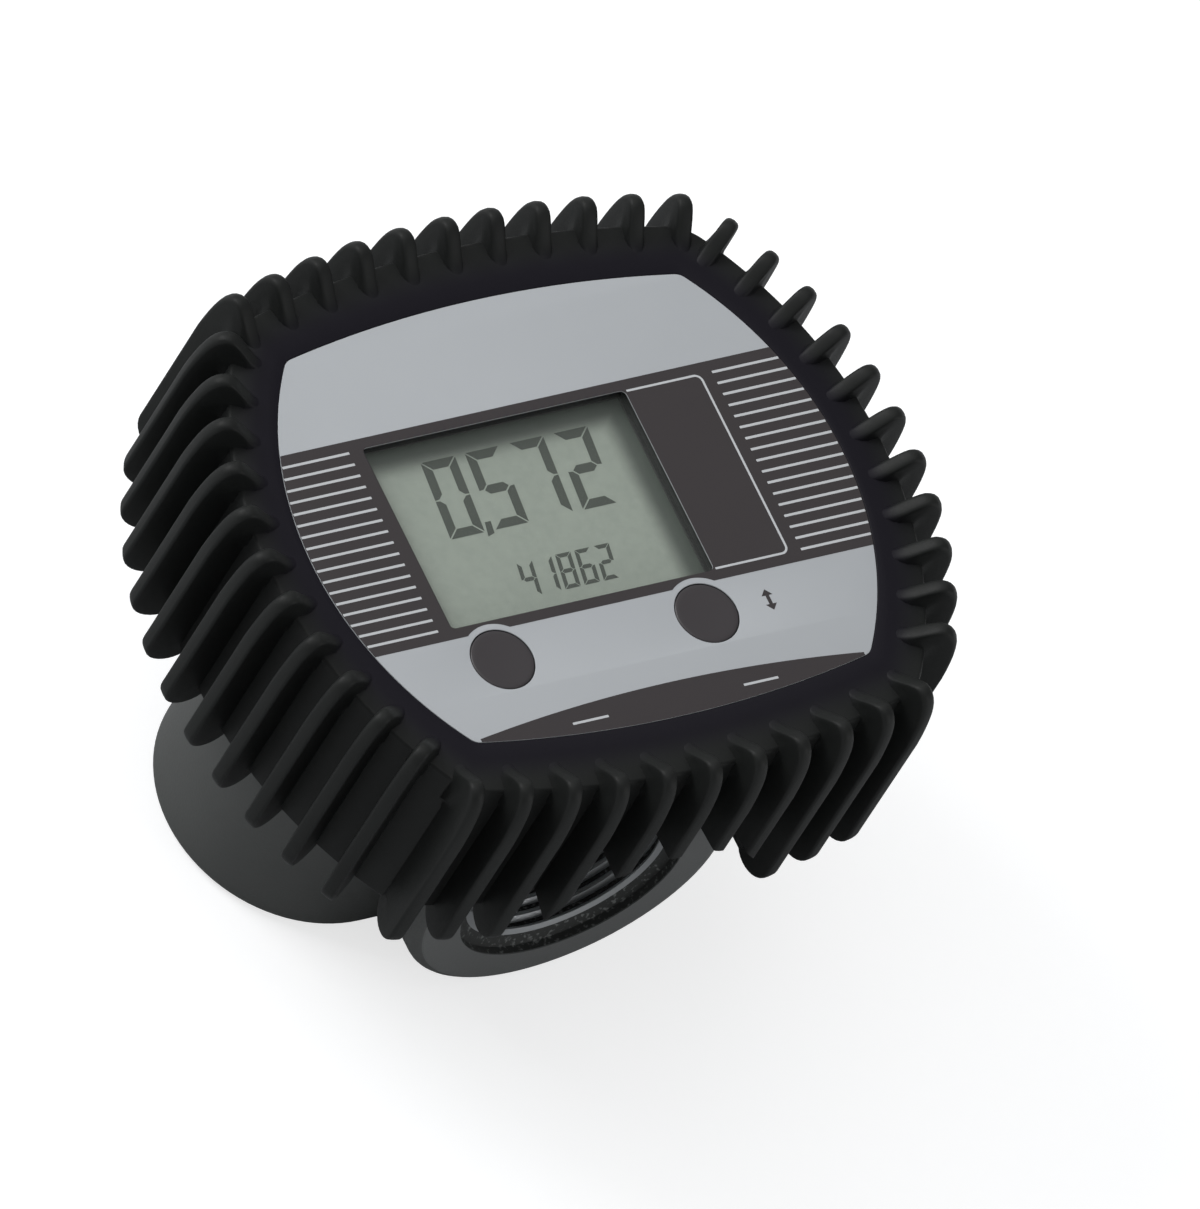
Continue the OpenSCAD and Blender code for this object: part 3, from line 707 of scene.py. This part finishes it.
def arc(x: float, y: float, radius: float, start: float, stop: float, steps: int = 12) -> list[Point]:
    """Points of a circular arc between two angles in degrees.

    Args:
        x: Centre.
        y: Centre.
        radius: Radius.
        start: First angle.
        stop: Last angle.
        steps: Steps between them.

    Returns:
        The points, both ends included.
    """
    angles = [radians(start + (stop - start) * i / steps) for i in range(steps + 1)]
    return [(x + radius * cos(a), y + radius * sin(a)) for a in angles]


def circle(x: float, y: float, radius: float, steps: int = 64) -> list[Point]:
    """Points of a whole circle."""
    return arc(x, y, radius, 0, 360 - 360 / steps, steps - 1)


def rounded(x0: float, y0: float, x1: float, y1: float, radius: float) -> list[Point]:
    """Points of a rectangle with round corners, counter-clockwise from its lower left corner.

    Args:
        x0: Left side.
        y0: Lower side.
        x1: Right side.
        y1: Upper side.
        radius: Radius of the corners.

    Returns:
        The closed loop.
    """
    left, low, right, high = x0 + radius, y0 + radius, x1 - radius, y1 - radius
    hubs = ((left, low), (right, low), (right, high), (left, high))
    return [p for i, (x, y) in enumerate(hubs) for p in arc(x, y, radius, 180 + 90 * i, 270 + 90 * i, 6)]


def settle(made: Object, body: str, replaced: str | None = None) -> None:
    """Let a piece ride on its body and report it.

    Args:
        made: The piece.
        body: CAD body that it moves with.
        replaced: CAD node that it replaces.
    """
    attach(made, body)
    if replaced:
        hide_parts(replaced)
    log.info("%s: %d faces, on %s", made.name, len(made.data.polygons), body)


@dataclass
class RubberBoot:
    """Moulded rubber boot: a wall round the casing, a lip over the label's edge and rows of fins.

    Points are distance outward from the casing's outline and height; those of the brim are distance from the
    label's outline and depth below the face.
    """

    wall_in: float = 5.0
    wall_out: float = 8.6
    wall_mid: float = 60.0
    lip_low: float = 70.8
    lip_flat: tuple[float, float] = (2.6, 4.5)
    tuck: float = 0.3
    brim: tuple[Point, ...] = ((0.05, 0.3), (0.05, 0.12), (0.1, 0.04), (0.22, 0.0))
    walk: tuple[int, int] = (96, 10)
    back_z: float = 42.0
    back_r: float = 0.5
    hook_in: float = 0.7
    hook_low: float = 50.2
    hook_high: float = 53.0
    hook_r: float = 0.4
    fins: int = 11
    step_side: float = 6.3
    step_end: float = 2.8
    shift: Quad = (1.54, 0.15, -1.33, -0.49)
    rise: tuple[Point, ...] = (
        (2.9, 73.82), (3.8, 74.0), (4.7, 74.35), (5.6, 74.95), (6.6, 75.8), (7.5, 76.65), (8.4, 77.45),
        (9.2, 78.03), (9.9, 78.35), (10.6, 78.3), (11.3, 78.0), (11.9, 77.45), (12.4, 76.7), (12.8, 75.75),
        (13.1, 74.6), (13.35, 73.1), (13.55, 71.3), (13.7, 69.3), (13.8, 67.0))
    crest: float = 13.8
    rise_root: Point = (3.4, 72.0)
    rise_step: Point = (0.22, -0.25)
    flank_root: float = 7.4
    flank_z: tuple[float, ...] = (64.0, 59.0, 54.0, 49.0, 45.0)
    tail_z: float = 42.1
    tail_r: float = 3.8
    tail_root: Point = (8.2, 44.0)
    tail_slip: float = 0.1
    tail_end: tuple[Point, Point] = ((6.2, 44.5), (8.0, 45.0))
    crown: float = 0.05
    half: float = 1.18
    edge: float = 0.85
    edge_low: float = 0.5
    edge_z: tuple[float, float] = (68.0, 76.0)
    sides: tuple[float, ...] = (0.2, 0.4, 0.54, 0.64, 0.74, 0.82, 0.9, 1.0)
    rim: float = 0.6
    draft: float = 0.03
    fillet: float = 0.5
    fillet_reach: float = 0.8
    fillet_z: float = 74.4
    sink: float = 0.1
    arch_half: float = 19.6
    arch_z: float = 38.0
    arch_y: float = 80.0
    arch_steps: int = 40

    def section(self) -> list[Point]:
        """Section of the wall, from the lip round to its underside.

        Returns:
            A closed loop of distance outward and height.
        """
        top, out, inner = FACE.top, self.wall_out, self.wall_in
        rim, foot, hook = self.rim, self.back_r, self.hook_r
        outside = [(d, top) for d in self.lip_flat] + arc(out - rim, top - rim, rim, 90, 0, 5)
        outside.append((out, self.wall_mid))
        back = (arc(out - foot, self.back_z + foot, foot, 0, -90, 4)
                + arc(inner + foot, self.back_z + foot, foot, 270, 180, 4))
        lug = (arc(self.hook_in, self.hook_low + hook, hook, 270, 180, 3)
               + arc(self.hook_in, self.hook_high - hook, hook, 180, 90, 3))
        inside = [(inner, self.hook_low)] + lug + [(inner, self.hook_high), (inner, self.lip_low)]
        return outside + back + inside + [(self.tuck, self.lip_low), (self.tuck, top - self.tuck)]

    def wall(self) -> Object:
        """Sweep the section round the casing; the lip's edge follows the label instead.

        Returns:
            The wall with its lip, before the arches are cut.
        """
        loops = []
        for (p, n), (q, m) in zip(FACE.walk(*self.walk), LABEL.walk(*self.walk)):
            loops.append([(q[0] + m[0] * d, q[1] + m[1] * d, FACE.top - down) for d, down in self.brim]
                         + [(p[0] + n[0] * d, p[1] + n[1] * d, z) for d, z in self.section()])
        return shape("boot_wall", *loft(loops, closed=True), BOOT)

    def ridge(self) -> list[tuple[Point, Point]]:
        """Pairs of crest point and root point along one fin, from the lip to the tail.

        Returns:
            Points as distance outward and height.
        """
        (u, w), (du, dw) = self.rise_root, self.rise_step
        pairs = [(c, (u + du * i, w + dw * i)) for i, c in enumerate(self.rise)]
        pairs += [((self.crest, z), (self.flank_root, z)) for z in self.flank_z]
        tail = arc(self.crest - self.tail_r, self.tail_z, self.tail_r, 0, -180, 14)
        u, w = self.tail_root
        pairs += [(c, (u + self.tail_slip * (1 - i / (len(tail) - 1)), w)) for i, c in enumerate(tail)]
        return pairs + [self.tail_end]

    def fin(self) -> list[list[Spot]]:
        """Loops of one fin as distance outward, distance along the face and height.

        Returns:
            One closed loop for each pair of the ridge.
        """
        low, high = self.edge_z
        loops = []
        for (cu, cw), (ru, rw) in self.ridge():
            r = self.edge_low + (self.edge - self.edge_low) * min(max((cw - low) / (high - low), 0.0), 1.0)
            length = hypot(ru - cu, rw - cw)
            du, dw = (ru - cu) / length, (rw - cw) / length
            rest = [r + self.crown + (length - r) * t for t in self.sides]
            outline = [(0.0, 0.0)]
            outline += [(self.crown + r - y, self.half - r + x) for x, y in arc(0, 0, r, 90, 0, 4)]
            outline += [(s, self.half + (s - r) * self.draft) for s in rest]
            half = []
            for s, h in outline:
                u, w = cu + du * s, cw + dw * s
                off = hypot(max(u - self.wall_out + self.sink, 0.0), max(w - FACE.top + self.sink, 0.0))
                root = max(0.0, 1 - off / self.fillet_reach) ** 2 * min(max(cw - self.fillet_z, 0.0), 1.0)
                half.append((u, h + self.fillet * root if s > r else h, w))
            loops.append([(u, v, w) for u, v, w in reversed(half)] + [(u, -v, w) for u, v, w in half[1:]])
        return loops

    def row(self, side: int) -> Object:
        """Build one row of fins.

        Args:
            side: Quarter turns from the right-hand side.

        Returns:
            The fins as one object.
        """
        centre, radius, _ = FACE.end if side % 2 else FACE.side
        step = self.step_end if side % 2 else self.step_side
        base = radians(90 * side)
        cx, cy = centre * cos(base), centre * sin(base)
        profile, skins = self.fin(), []
        for i in range(self.fins):
            a = base + radians((i - (self.fins - 1) / 2) * step + self.shift[side])
            loops = [[(cx + (radius + u) * cos(a) - v * sin(a),
                       cy + (radius + u) * sin(a) + v * cos(a), w) for u, v, w in loop]
                     for loop in profile]
            skins.append(loft(loops))
        made = shape(f"fin_row_{side}", *join(skins), BOOT)
        finish_edges(made)
        return made

    def arch(self) -> Object:
        """Closed cutter with the arches' round tops, right through along Y.

        Returns:
            The cutter, which is removed after its use.
        """
        outline = [(-self.arch_half, 0.0), (self.arch_half, 0.0)]
        outline += arc(0, self.arch_z, self.arch_half, 0, 180, self.arch_steps)
        loops = [[(x, y, z) for x, z in outline] for y in (-self.arch_y, self.arch_y)]
        made = shape("arch_draft", *loft(loops), BOOT)
        finish_edges(made)
        return made

    def build(self) -> Object:
        """Make the whole boot.

        Returns:
            One object: the wall with its arches and all the fins.
        """
        wall = self.wall()
        finish_edges(wall)
        rows = [self.row(side) for side in range(4)]
        cutter = self.arch()
        for part in (wall, rows[1], rows[3]):
            carve(part, cutter)
        bpy.data.objects.remove(cutter)
        whole = bmesh.new()
        for part in (wall, *rows):
            whole.from_mesh(part.data)
            bpy.data.objects.remove(part)
        mesh = bpy.data.meshes.new("finned_boot")
        whole.to_mesh(mesh)
        whole.free()
        made = put("finned_boot", mesh)
        mesh.materials.append(BOOT.material())
        finish_edges(made, 0.001, 40.0)
        settle(made, "meter", "rubber_boot")
        return made


@dataclass
class FaceLabel:
    """Printed label: grey film with a dark band, fine lines, a bracket and a dark foot, without lettering.

    A rectangle is given by its low and high corners, and a dash by its two ends and its height.
    """

    sheet: float = 0.3
    edge: float = 0.1
    ink: float = 0.02
    inset: float = 0.05
    window: Quad = (-29.4, -14.9, 16.5, 17.1)
    window_r: float = 0.9
    band: tuple[float, float] = (-16.6, 18.8)
    buttons: tuple[Point, Point] = ((-23.7, -21.5), (11.9, -21.5))
    button_hole: float = 5.15
    halo: float = 6.1
    lines: int = 17
    line_t: float = 0.42
    line_r: float = 0.08
    line_pitch: float = 1.972
    line_top: float = 16.81
    line_start: float = 31.65
    line_gap: float = 0.15
    bracket: Quad = (16.7, -14.9, 29.7, 17.05)
    bracket_r: float = 1.3
    bracket_t: float = 0.36
    foot_half: float = 33.4
    foot_r: float = 250.0
    foot_top: float = -31.15
    dash_spots: tuple[Spot, ...] = ((-17.8, -11.6, -34.32), (12.0, 18.0, -34.3))
    dash_t: float = 0.4
    arrow_spot: Point = (22.7, -21.6)
    arrow_head: tuple[Point, ...] = ((0.0, 1.8), (0.95, 0.75), (0.3, 0.75))

    def film(self) -> Object:
        """Grey film with its window and button holes.

        Returns:
            The film.
        """
        loops = [LABEL.ring(-self.ink), rounded(*self.window, self.window_r)]
        loops += [circle(x, y, self.button_hole) for x, y in self.buttons]
        return plate("label_film", loops, FACE.top - self.sheet, FACE.top - self.ink, FILM, self.edge)

    def dark(self, name: str, loops: list[list[Point]]) -> Object:
        """Print dark ink on the film, up to the face."""
        return plate(name, loops, FACE.top - self.ink, FACE.top, DARK_INK)

    def light(self, name: str, loops: list[list[Point]]) -> Object:
        """Print light ink over film and dark ink, half sunk in them."""
        return plate(name, loops, FACE.top - self.ink / 2, FACE.top + self.ink / 2, LIGHT_INK)

    def side(self, y0: float, y1: float, sign: float, steps: int = 24) -> list[Point]:
        """Points along the face's left or right edge between two heights."""
        heights = [y0 + (y1 - y0) * i / steps for i in range(steps + 1)]
        return [(sign * (LABEL.side_x(y, self.inset)), y) for y in heights]

    def dark_band(self) -> Object:
        """Dark band behind the window, bitten by the halo of each button.

        Returns:
            The band.
        """
        low, high = self.band
        rise = degrees(acos((low - self.buttons[0][1]) / self.halo))
        bites = [p for x, y in self.buttons for p in arc(x, y, self.halo, 90 + rise, 90 - rise, 16)]
        outline = self.side(high, low, -1) + bites + self.side(low, high, 1)
        return self.dark("label_band", [outline, rounded(*self.window, self.window_r)])

    def strokes(self) -> Object:
        """Light lines beside the window, and the bracket at its right.

        Returns:
            Lines and bracket as one object.
        """
        loops, half = [], self.line_t / 2
        for i in range(self.lines):
            y = self.line_top - self.line_pitch * i
            stroke = rounded(self.line_start, y - half, LABEL.side_x(y, self.line_gap), y + half, self.line_r)
            loops += [[(sign * x, z) for x, z in stroke] for sign in (-1, 1)]
        x0, y0, x1, y1 = self.bracket
        r, t = self.bracket_r, self.bracket_t
        outer = arc(x1 - r, y0 + r, r, -90, 0, 6) + arc(x1 - r, y1 - r, r, 0, 90, 6)
        inner = arc(x1 - r, y1 - r, r - t, 90, 0, 6) + arc(x1 - r, y0 + r, r - t, 0, -90, 6)
        loops.append([(x0, y0)] + outer + [(x0, y1), (x0, y1 - t)] + inner + [(x0, y0 + t)])
        return self.light("label_lines", loops)

    def foot(self) -> Object:
        """Dark foot between a shallow arc and the label's lower edge.

        Returns:
            The foot.
        """
        steps = 60
        xs = [-self.foot_half + 2 * self.foot_half * i / steps for i in range(steps + 1)]
        upper = [(x, self.foot_top - self.foot_r + sqrt(self.foot_r ** 2 - x * x)) for x in xs]
        lower = [(x, -LABEL.end_y(x, self.inset)) for x in reversed(xs)]
        return self.dark("label_foot", [upper + lower])

    def dashes(self) -> Object:
        """Two light dashes on the dark foot.

        Returns:
            Both dashes as one object.
        """
        half = self.dash_t / 2
        return self.light("label_dashes", [[(x0, y - half), (x1, y - half), (x1, y + half), (x0, y + half)]
                                           for x0, x1, y in self.dash_spots])

    def arrow(self) -> Object:
        """Small double arrow beside the right-hand button.

        Returns:
            The arrow.
        """
        x0, y0 = self.arrow_spot
        right = list(self.arrow_head) + [(x, -y) for x, y in reversed(self.arrow_head)]
        loop = right + [(-x, y) for x, y in reversed(right) if x]
        return self.dark("label_arrow", [[(x0 + x, y0 + y) for x, y in loop]])

    def build(self) -> None:
        """Make the film and every printed layer."""
        settle(self.film(), "meter", "face_label")
        for made in (self.dark_band(), self.strokes(), self.foot(), self.dashes(), self.arrow()):
            settle(made, "meter")


class Segment(Enum):
    """The seven bars of a number on the display."""

    TOP = "a"
    UPPER_RIGHT = "b"
    LOWER_RIGHT = "c"
    FOOT = "d"
    LOWER_LEFT = "e"
    UPPER_LEFT = "f"
    MIDDLE = "g"


# Bars of the numbers from 0 to 9
BARS = ("abcdef", "bc", "abged", "abgcd", "fgbc", "afgcd", "afgcde", "abc", "abcdefg", "abcdfg")


@dataclass(frozen=True)
class NumberRow:
    """A row of seven-bar numbers; digits may hold one comma."""

    digits: str
    right: float
    foot: float
    wide: float
    high: float
    stroke: float
    pitch: float
    gap: float
    slant: float = 0.17
    comma: tuple[Point, ...] = ((0.0, -0.7), (1.0, -0.4), (1.1, 1.3), (0.25, 1.3))
    comma_size: float = 0.8

    def bar(self, which: Segment) -> list[Point]:
        """Outline of one bar with mitred ends, before the slant.

        Args:
            which: The bar.

        Returns:
            The outline, in millimetres from the number's lower left corner.
        """
        w, h, t, g = self.wide, self.high, self.stroke, self.gap
        m = h / 2
        upper = [(w, h - g), (w, m + g / 2), (w - t / 2, m + g), (w - t, m + t / 2 + g), (w - t, h - g - t)]
        shapes = {
            Segment.TOP: [(g, h), (w - g, h), (w - g - t, h - t), (g + t, h - t)],
            Segment.FOOT: [(g, 0), (w - g, 0), (w - g - t, t), (g + t, t)],
            Segment.MIDDLE: [(t / 2 + g, m), (t + g, m + t / 2), (w - t - g, m + t / 2), (w - t / 2 - g, m),
                             (w - t - g, m - t / 2), (t + g, m - t / 2)],
            Segment.UPPER_RIGHT: upper,
            Segment.LOWER_RIGHT: [(x, h - y) for x, y in upper],
            Segment.UPPER_LEFT: [(w - x, y) for x, y in upper],
            Segment.LOWER_LEFT: [(w - x, h - y) for x, y in upper],
        }
        return shapes[which]

    def loops(self) -> list[list[Point]]:
        """Outlines of every bar and of the comma, in place and slanted.

        Returns:
            Closed loops in millimetres.
        """
        numbers = self.digits.replace(",", "")
        before_comma = self.digits.find(",") - 1
        drawn = []
        for i, number in enumerate(numbers):
            x0 = self.right - self.wide - (len(numbers) - 1 - i) * self.pitch
            for bar in BARS[int(number)]:
                drawn.append([(x0 + x, y) for x, y in self.bar(Segment(bar))])
            if i == before_comma:
                t = self.stroke * self.comma_size
                x1 = x0 + self.wide + (self.pitch - self.wide - t) / 2
                drawn.append([(x1 + t * u, t * v) for u, v in self.comma])
        return [[(x + y * self.slant, y + self.foot) for x, y in loop] for loop in drawn]


@dataclass
class Display:
    """Numbers of the liquid crystal, and the two push buttons.

    The dish is given by its depths from rim to middle, and a tab by its sections' distances from the axis.
    """

    glass_top: float = 70.8
    film: float = 0.03
    rows: tuple[NumberRow, ...] = (
        NumberRow("0,572", right=8.6, foot=0.95, wide=5.95, high=13.3, stroke=1.5, pitch=7.7, gap=0.17,
                  slant=0.09),
        NumberRow("41862", right=3.0, foot=-11.1, wide=2.65, high=5.9, stroke=0.66, pitch=3.35, gap=0.08),
    )
    cap_r: float = 5.05
    cap_top: float = 73.95
    cap_low: float = 68.05
    cap_edge: float = 0.3
    dish_in: float = 0.9
    dish: Spot = (0.01, 0.04, 0.05)
    stem_r: float = 1.5
    tab_half: float = 2.5
    tab_t: float = 1.0
    tab_r: float = 0.25
    tab_out: Spot = (4.2, 5.9, 6.15)

    def numbers(self) -> Object:
        """Both rows of numbers as one dark film on the glass."""
        loops = [loop for row in self.rows for loop in row.loops()]
        return plate("display_numbers", loops, self.glass_top, self.glass_top + self.film, SEGMENT)

    def button(self, name: str, spot: Point, body: str, stem_z: float) -> Object:
        """Turn one push button: a cap with a rounded edge and a shallow dish, two side tabs and a stem.

        Args:
            name: Name of the piece.
            spot: Place of its axis.
            body: CAD body that it rides on.
            stem_z: Height of the stem's end.

        Returns:
            The button.
        """
        (x, y), steps = spot, 64
        r, top, low, edge = self.cap_r, self.cap_top, self.cap_low, self.cap_edge
        side = [(0.0, stem_z), (self.stem_r, stem_z), (self.stem_r, low), (r, low)]
        side += arc(r - edge, top - edge, edge, 0, 90, 6)
        side += [(q, top - down) for q, down in zip((r - self.dish_in, r / 2, 0.0), self.dish)]
        points, faces = [], []
        for i in range(steps):
            a = 2 * pi * i / steps
            points += [(x + q * cos(a), y + q * sin(a), z) for q, z in side]
        n = len(side)
        for i in range(steps):
            j = (i + 1) % steps
            faces += [(i * n + k, j * n + k, j * n + k + 1, i * n + k + 1) for k in range(n - 1)]
        tab = rounded(-self.tab_half, low - self.tab_t / 2, self.tab_half, low + self.tab_t / 2, self.tab_r)
        tabs = [loft([[(x + sign * u, y + v, z) for v, z in tab] for u in self.tab_out]) for sign in (-1, 1)]
        made = shape(name, *join([(points, faces), *tabs]), BUTTON)
        finish_edges(made, 0.004)
        settle(made, body, body)
        return made

    def build(self) -> None:
        """Make the numbers and both buttons."""
        settle(self.numbers(), "meter")
        for task, spot in zip(("reset", "rate"), FaceLabel.buttons):
            body = f"{task}_button"
            low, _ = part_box(body)
            self.button(f"{task}_cap", spot, body, low[2] / MM)


class Carcass:
    """Every CAD node that stays: the cast body, the casing and what is inside."""

    def build(self) -> None:
        """Give each kept node its finish."""
        for name, finish in KEPT.items():
            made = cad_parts[name]
            for spot in made.material_slots:
                spot.material = finish.material()
            log.info("%s: %s", name, finish.name)


@dataclass(frozen=True)
class Softbox:
    """Soft square lamp that faces the object from a direction given along the camera's right, up and back."""

    name: str
    toward: Spot
    size: float
    watts: float
    far: float = 1.4


@dataclass
class Studio:
    """Pale floor, soft lamps and the camera at the photograph's angle; distances are in metres."""

    white: str = "#b2b4b6"
    second: str = "#b6b8ba"
    paper_mm: float = 3.0
    paper_roughness: float = 0.9
    glow: float = 0.7
    clear: tuple[float, float] = (0.08, 0.4)
    floor_half: float = 9.0
    floor_z: float = -0.0002
    distance: float = 7.1333
    lens: float = 1456.3
    sensor: float = 36.0
    clip: tuple[float, float] = (0.1, 50.0)
    back: Spot = (-0.50475, -0.38015, 0.77506)
    right: Spot = (0.84219, -0.414, 0.34541)
    tilt: tuple[float, float] = (-0.000446, 0.002005)
    world: float = 0.3
    aim_z: float = 0.05
    lamps: tuple[Softbox, ...] = (
        Softbox("overhead_softbox", (0.15, 0.6, 0.8), 1.2, 5.3),
        Softbox("left_softbox", (-0.55, 0.75, 0.5), 1.3, 44.5, 2.6),
        Softbox("rear_softbox", (0.2, 1.0, 0.1), 0.9, 2.0),
        Softbox("port_softbox", (0.85, -0.4, 0.35), 0.5, 3.2),
    )

    def axes(self) -> tuple[Vector, Vector, Vector]:
        """Right, up and back as the camera would have them if it looked at the label's middle.

        Returns:
            Three unit vectors at right angles.
        """
        back = Vector(self.back).normalized()
        right = Vector(self.right)
        right = (right - right.dot(back) * back).normalized()
        return right, back.cross(right), back

    def camera(self) -> None:
        """Put the camera in place, tilted so that the label's middle is left of and above the frame's."""
        right, up, back = self.axes()
        place = Vector((0, 0, FACE.top * MM)) + self.distance * back
        view = (back + self.tilt[0] * right + self.tilt[1] * up).normalized()
        right = (right - right.dot(view) * view).normalized()
        up = view.cross(right)
        data = bpy.data.cameras.new("photo_camera")
        data.sensor_fit, data.sensor_width, data.lens = "HORIZONTAL", self.sensor, self.lens
        data.clip_start, data.clip_end = self.clip
        made = put("photo_camera", data)
        made.matrix_world = Matrix.Translation(place) @ Matrix((right, up, view)).transposed().to_4x4()
        bpy.context.scene.camera = made

    def lamp(self, box: Softbox) -> None:
        """Hang one soft square lamp.

        Args:
            box: The lamp's name, direction, width, power and distance.
        """
        right, up, back = self.axes()
        way = (box.toward[0] * right + box.toward[1] * up + box.toward[2] * back).normalized()
        data = bpy.data.lights.new(box.name, "AREA")
        data.shape, data.size, data.energy = "SQUARE", box.size, box.watts
        made = put(box.name, data)
        made.visible_camera = False
        made.matrix_world = (Matrix.Translation(way * box.far + Vector((0, 0, self.aim_z)))
                             @ way.to_track_quat("Z", "Y").to_matrix().to_4x4())

    def seen(self, tree: NodeTree) -> NodeSocket:
        """Tell rays that reach the camera, straight or through the pane, from all others.

        Args:
            tree: Node tree that takes the nodes.

        Returns:
            One for such a ray, and zero for any other.
        """
        rays = [add(tree, "LightPath", out=f"Is {kind} Ray") for kind in ("Camera", "Transmission")]
        return add(tree, "Math", {0: rays[0], 1: rays[1]}, operation="MAXIMUM")

    def floor(self) -> None:
        """Pale floor with a shadow, white to the camera and, away from the object, in reflections."""
        made = bpy.data.materials.new("matt_backdrop_paper")
        made.use_nodes = True
        tree = made.node_tree
        place = add(tree, "TexCoord", out="Object")
        cloud = add(tree, "TexNoise", {"Vector": place, "Scale": per(self.paper_mm)}, "Fac")
        tone = add(tree, "Mix", {SHARE: cloud, FIRST: linear(self.white), SECOND: linear(self.second)},
                   TONE, data_type="RGBA")
        away = add(tree, "VectorMath", {0: place}, "Value", operation="LENGTH")
        near, far = self.clear
        open_floor = add(tree, "MapRange", {"Value": away, "From Min": near, "From Max": far},
                         interpolation_type="SMOOTHSTEP")
        glossy = add(tree, "LightPath", out="Is Glossy Ray")
        sweep = add(tree, "Math", {0: glossy, 1: open_floor}, operation="MULTIPLY")
        either = add(tree, "Math", {0: self.seen(tree), 1: sweep}, operation="MAXIMUM")
        strength = add(tree, "Math", {0: either, 1: self.glow}, operation="MULTIPLY")
        feed(tree.nodes["Principled BSDF"], {"Base Color": tone, "Roughness": self.paper_roughness,
                                             "Emission Color": (1, 1, 1, 1), "Emission Strength": strength})
        mesh, half = bpy.data.meshes.new("studio_floor"), self.floor_half
        mesh.from_pydata([(x * half, y * half, 0) for x, y in ((-1, -1), (1, -1), (1, 1), (-1, 1))], [],
                         [(0, 1, 2, 3)])
        mesh.materials.append(made)
        sheet = put("studio_floor", mesh)
        sheet.location.z = self.floor_z

    def air(self) -> None:
        """White behind everything for the camera, and a dim even light for the object."""
        world = bpy.data.worlds.new("studio_air")
        world.use_nodes = True
        tree = world.node_tree
        level = add(tree, "MapRange", {"Value": self.seen(tree), "To Min": self.world, "To Max": 1.0})
        feed(tree.nodes["Background"], {"Color": (1, 1, 1, 1), "Strength": level})
        bpy.context.scene.world = world

    def build(self) -> None:
        """Light the scene and set the view transform."""
        self.camera()
        self.floor()
        for box in self.lamps:
            self.lamp(box)
        self.air()
        bpy.context.scene.view_settings.view_transform = "Standard"


def main() -> None:
    """Build the studio and dress each sub-assembly in order."""
    logging.basicConfig(level=logging.INFO, format="%(name)s %(message)s")
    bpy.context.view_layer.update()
    Studio().build()
    RubberBoot().build()
    FaceLabel().build()
    Display().build()
    Carcass().build()


if __name__ == "__main__":
    main()
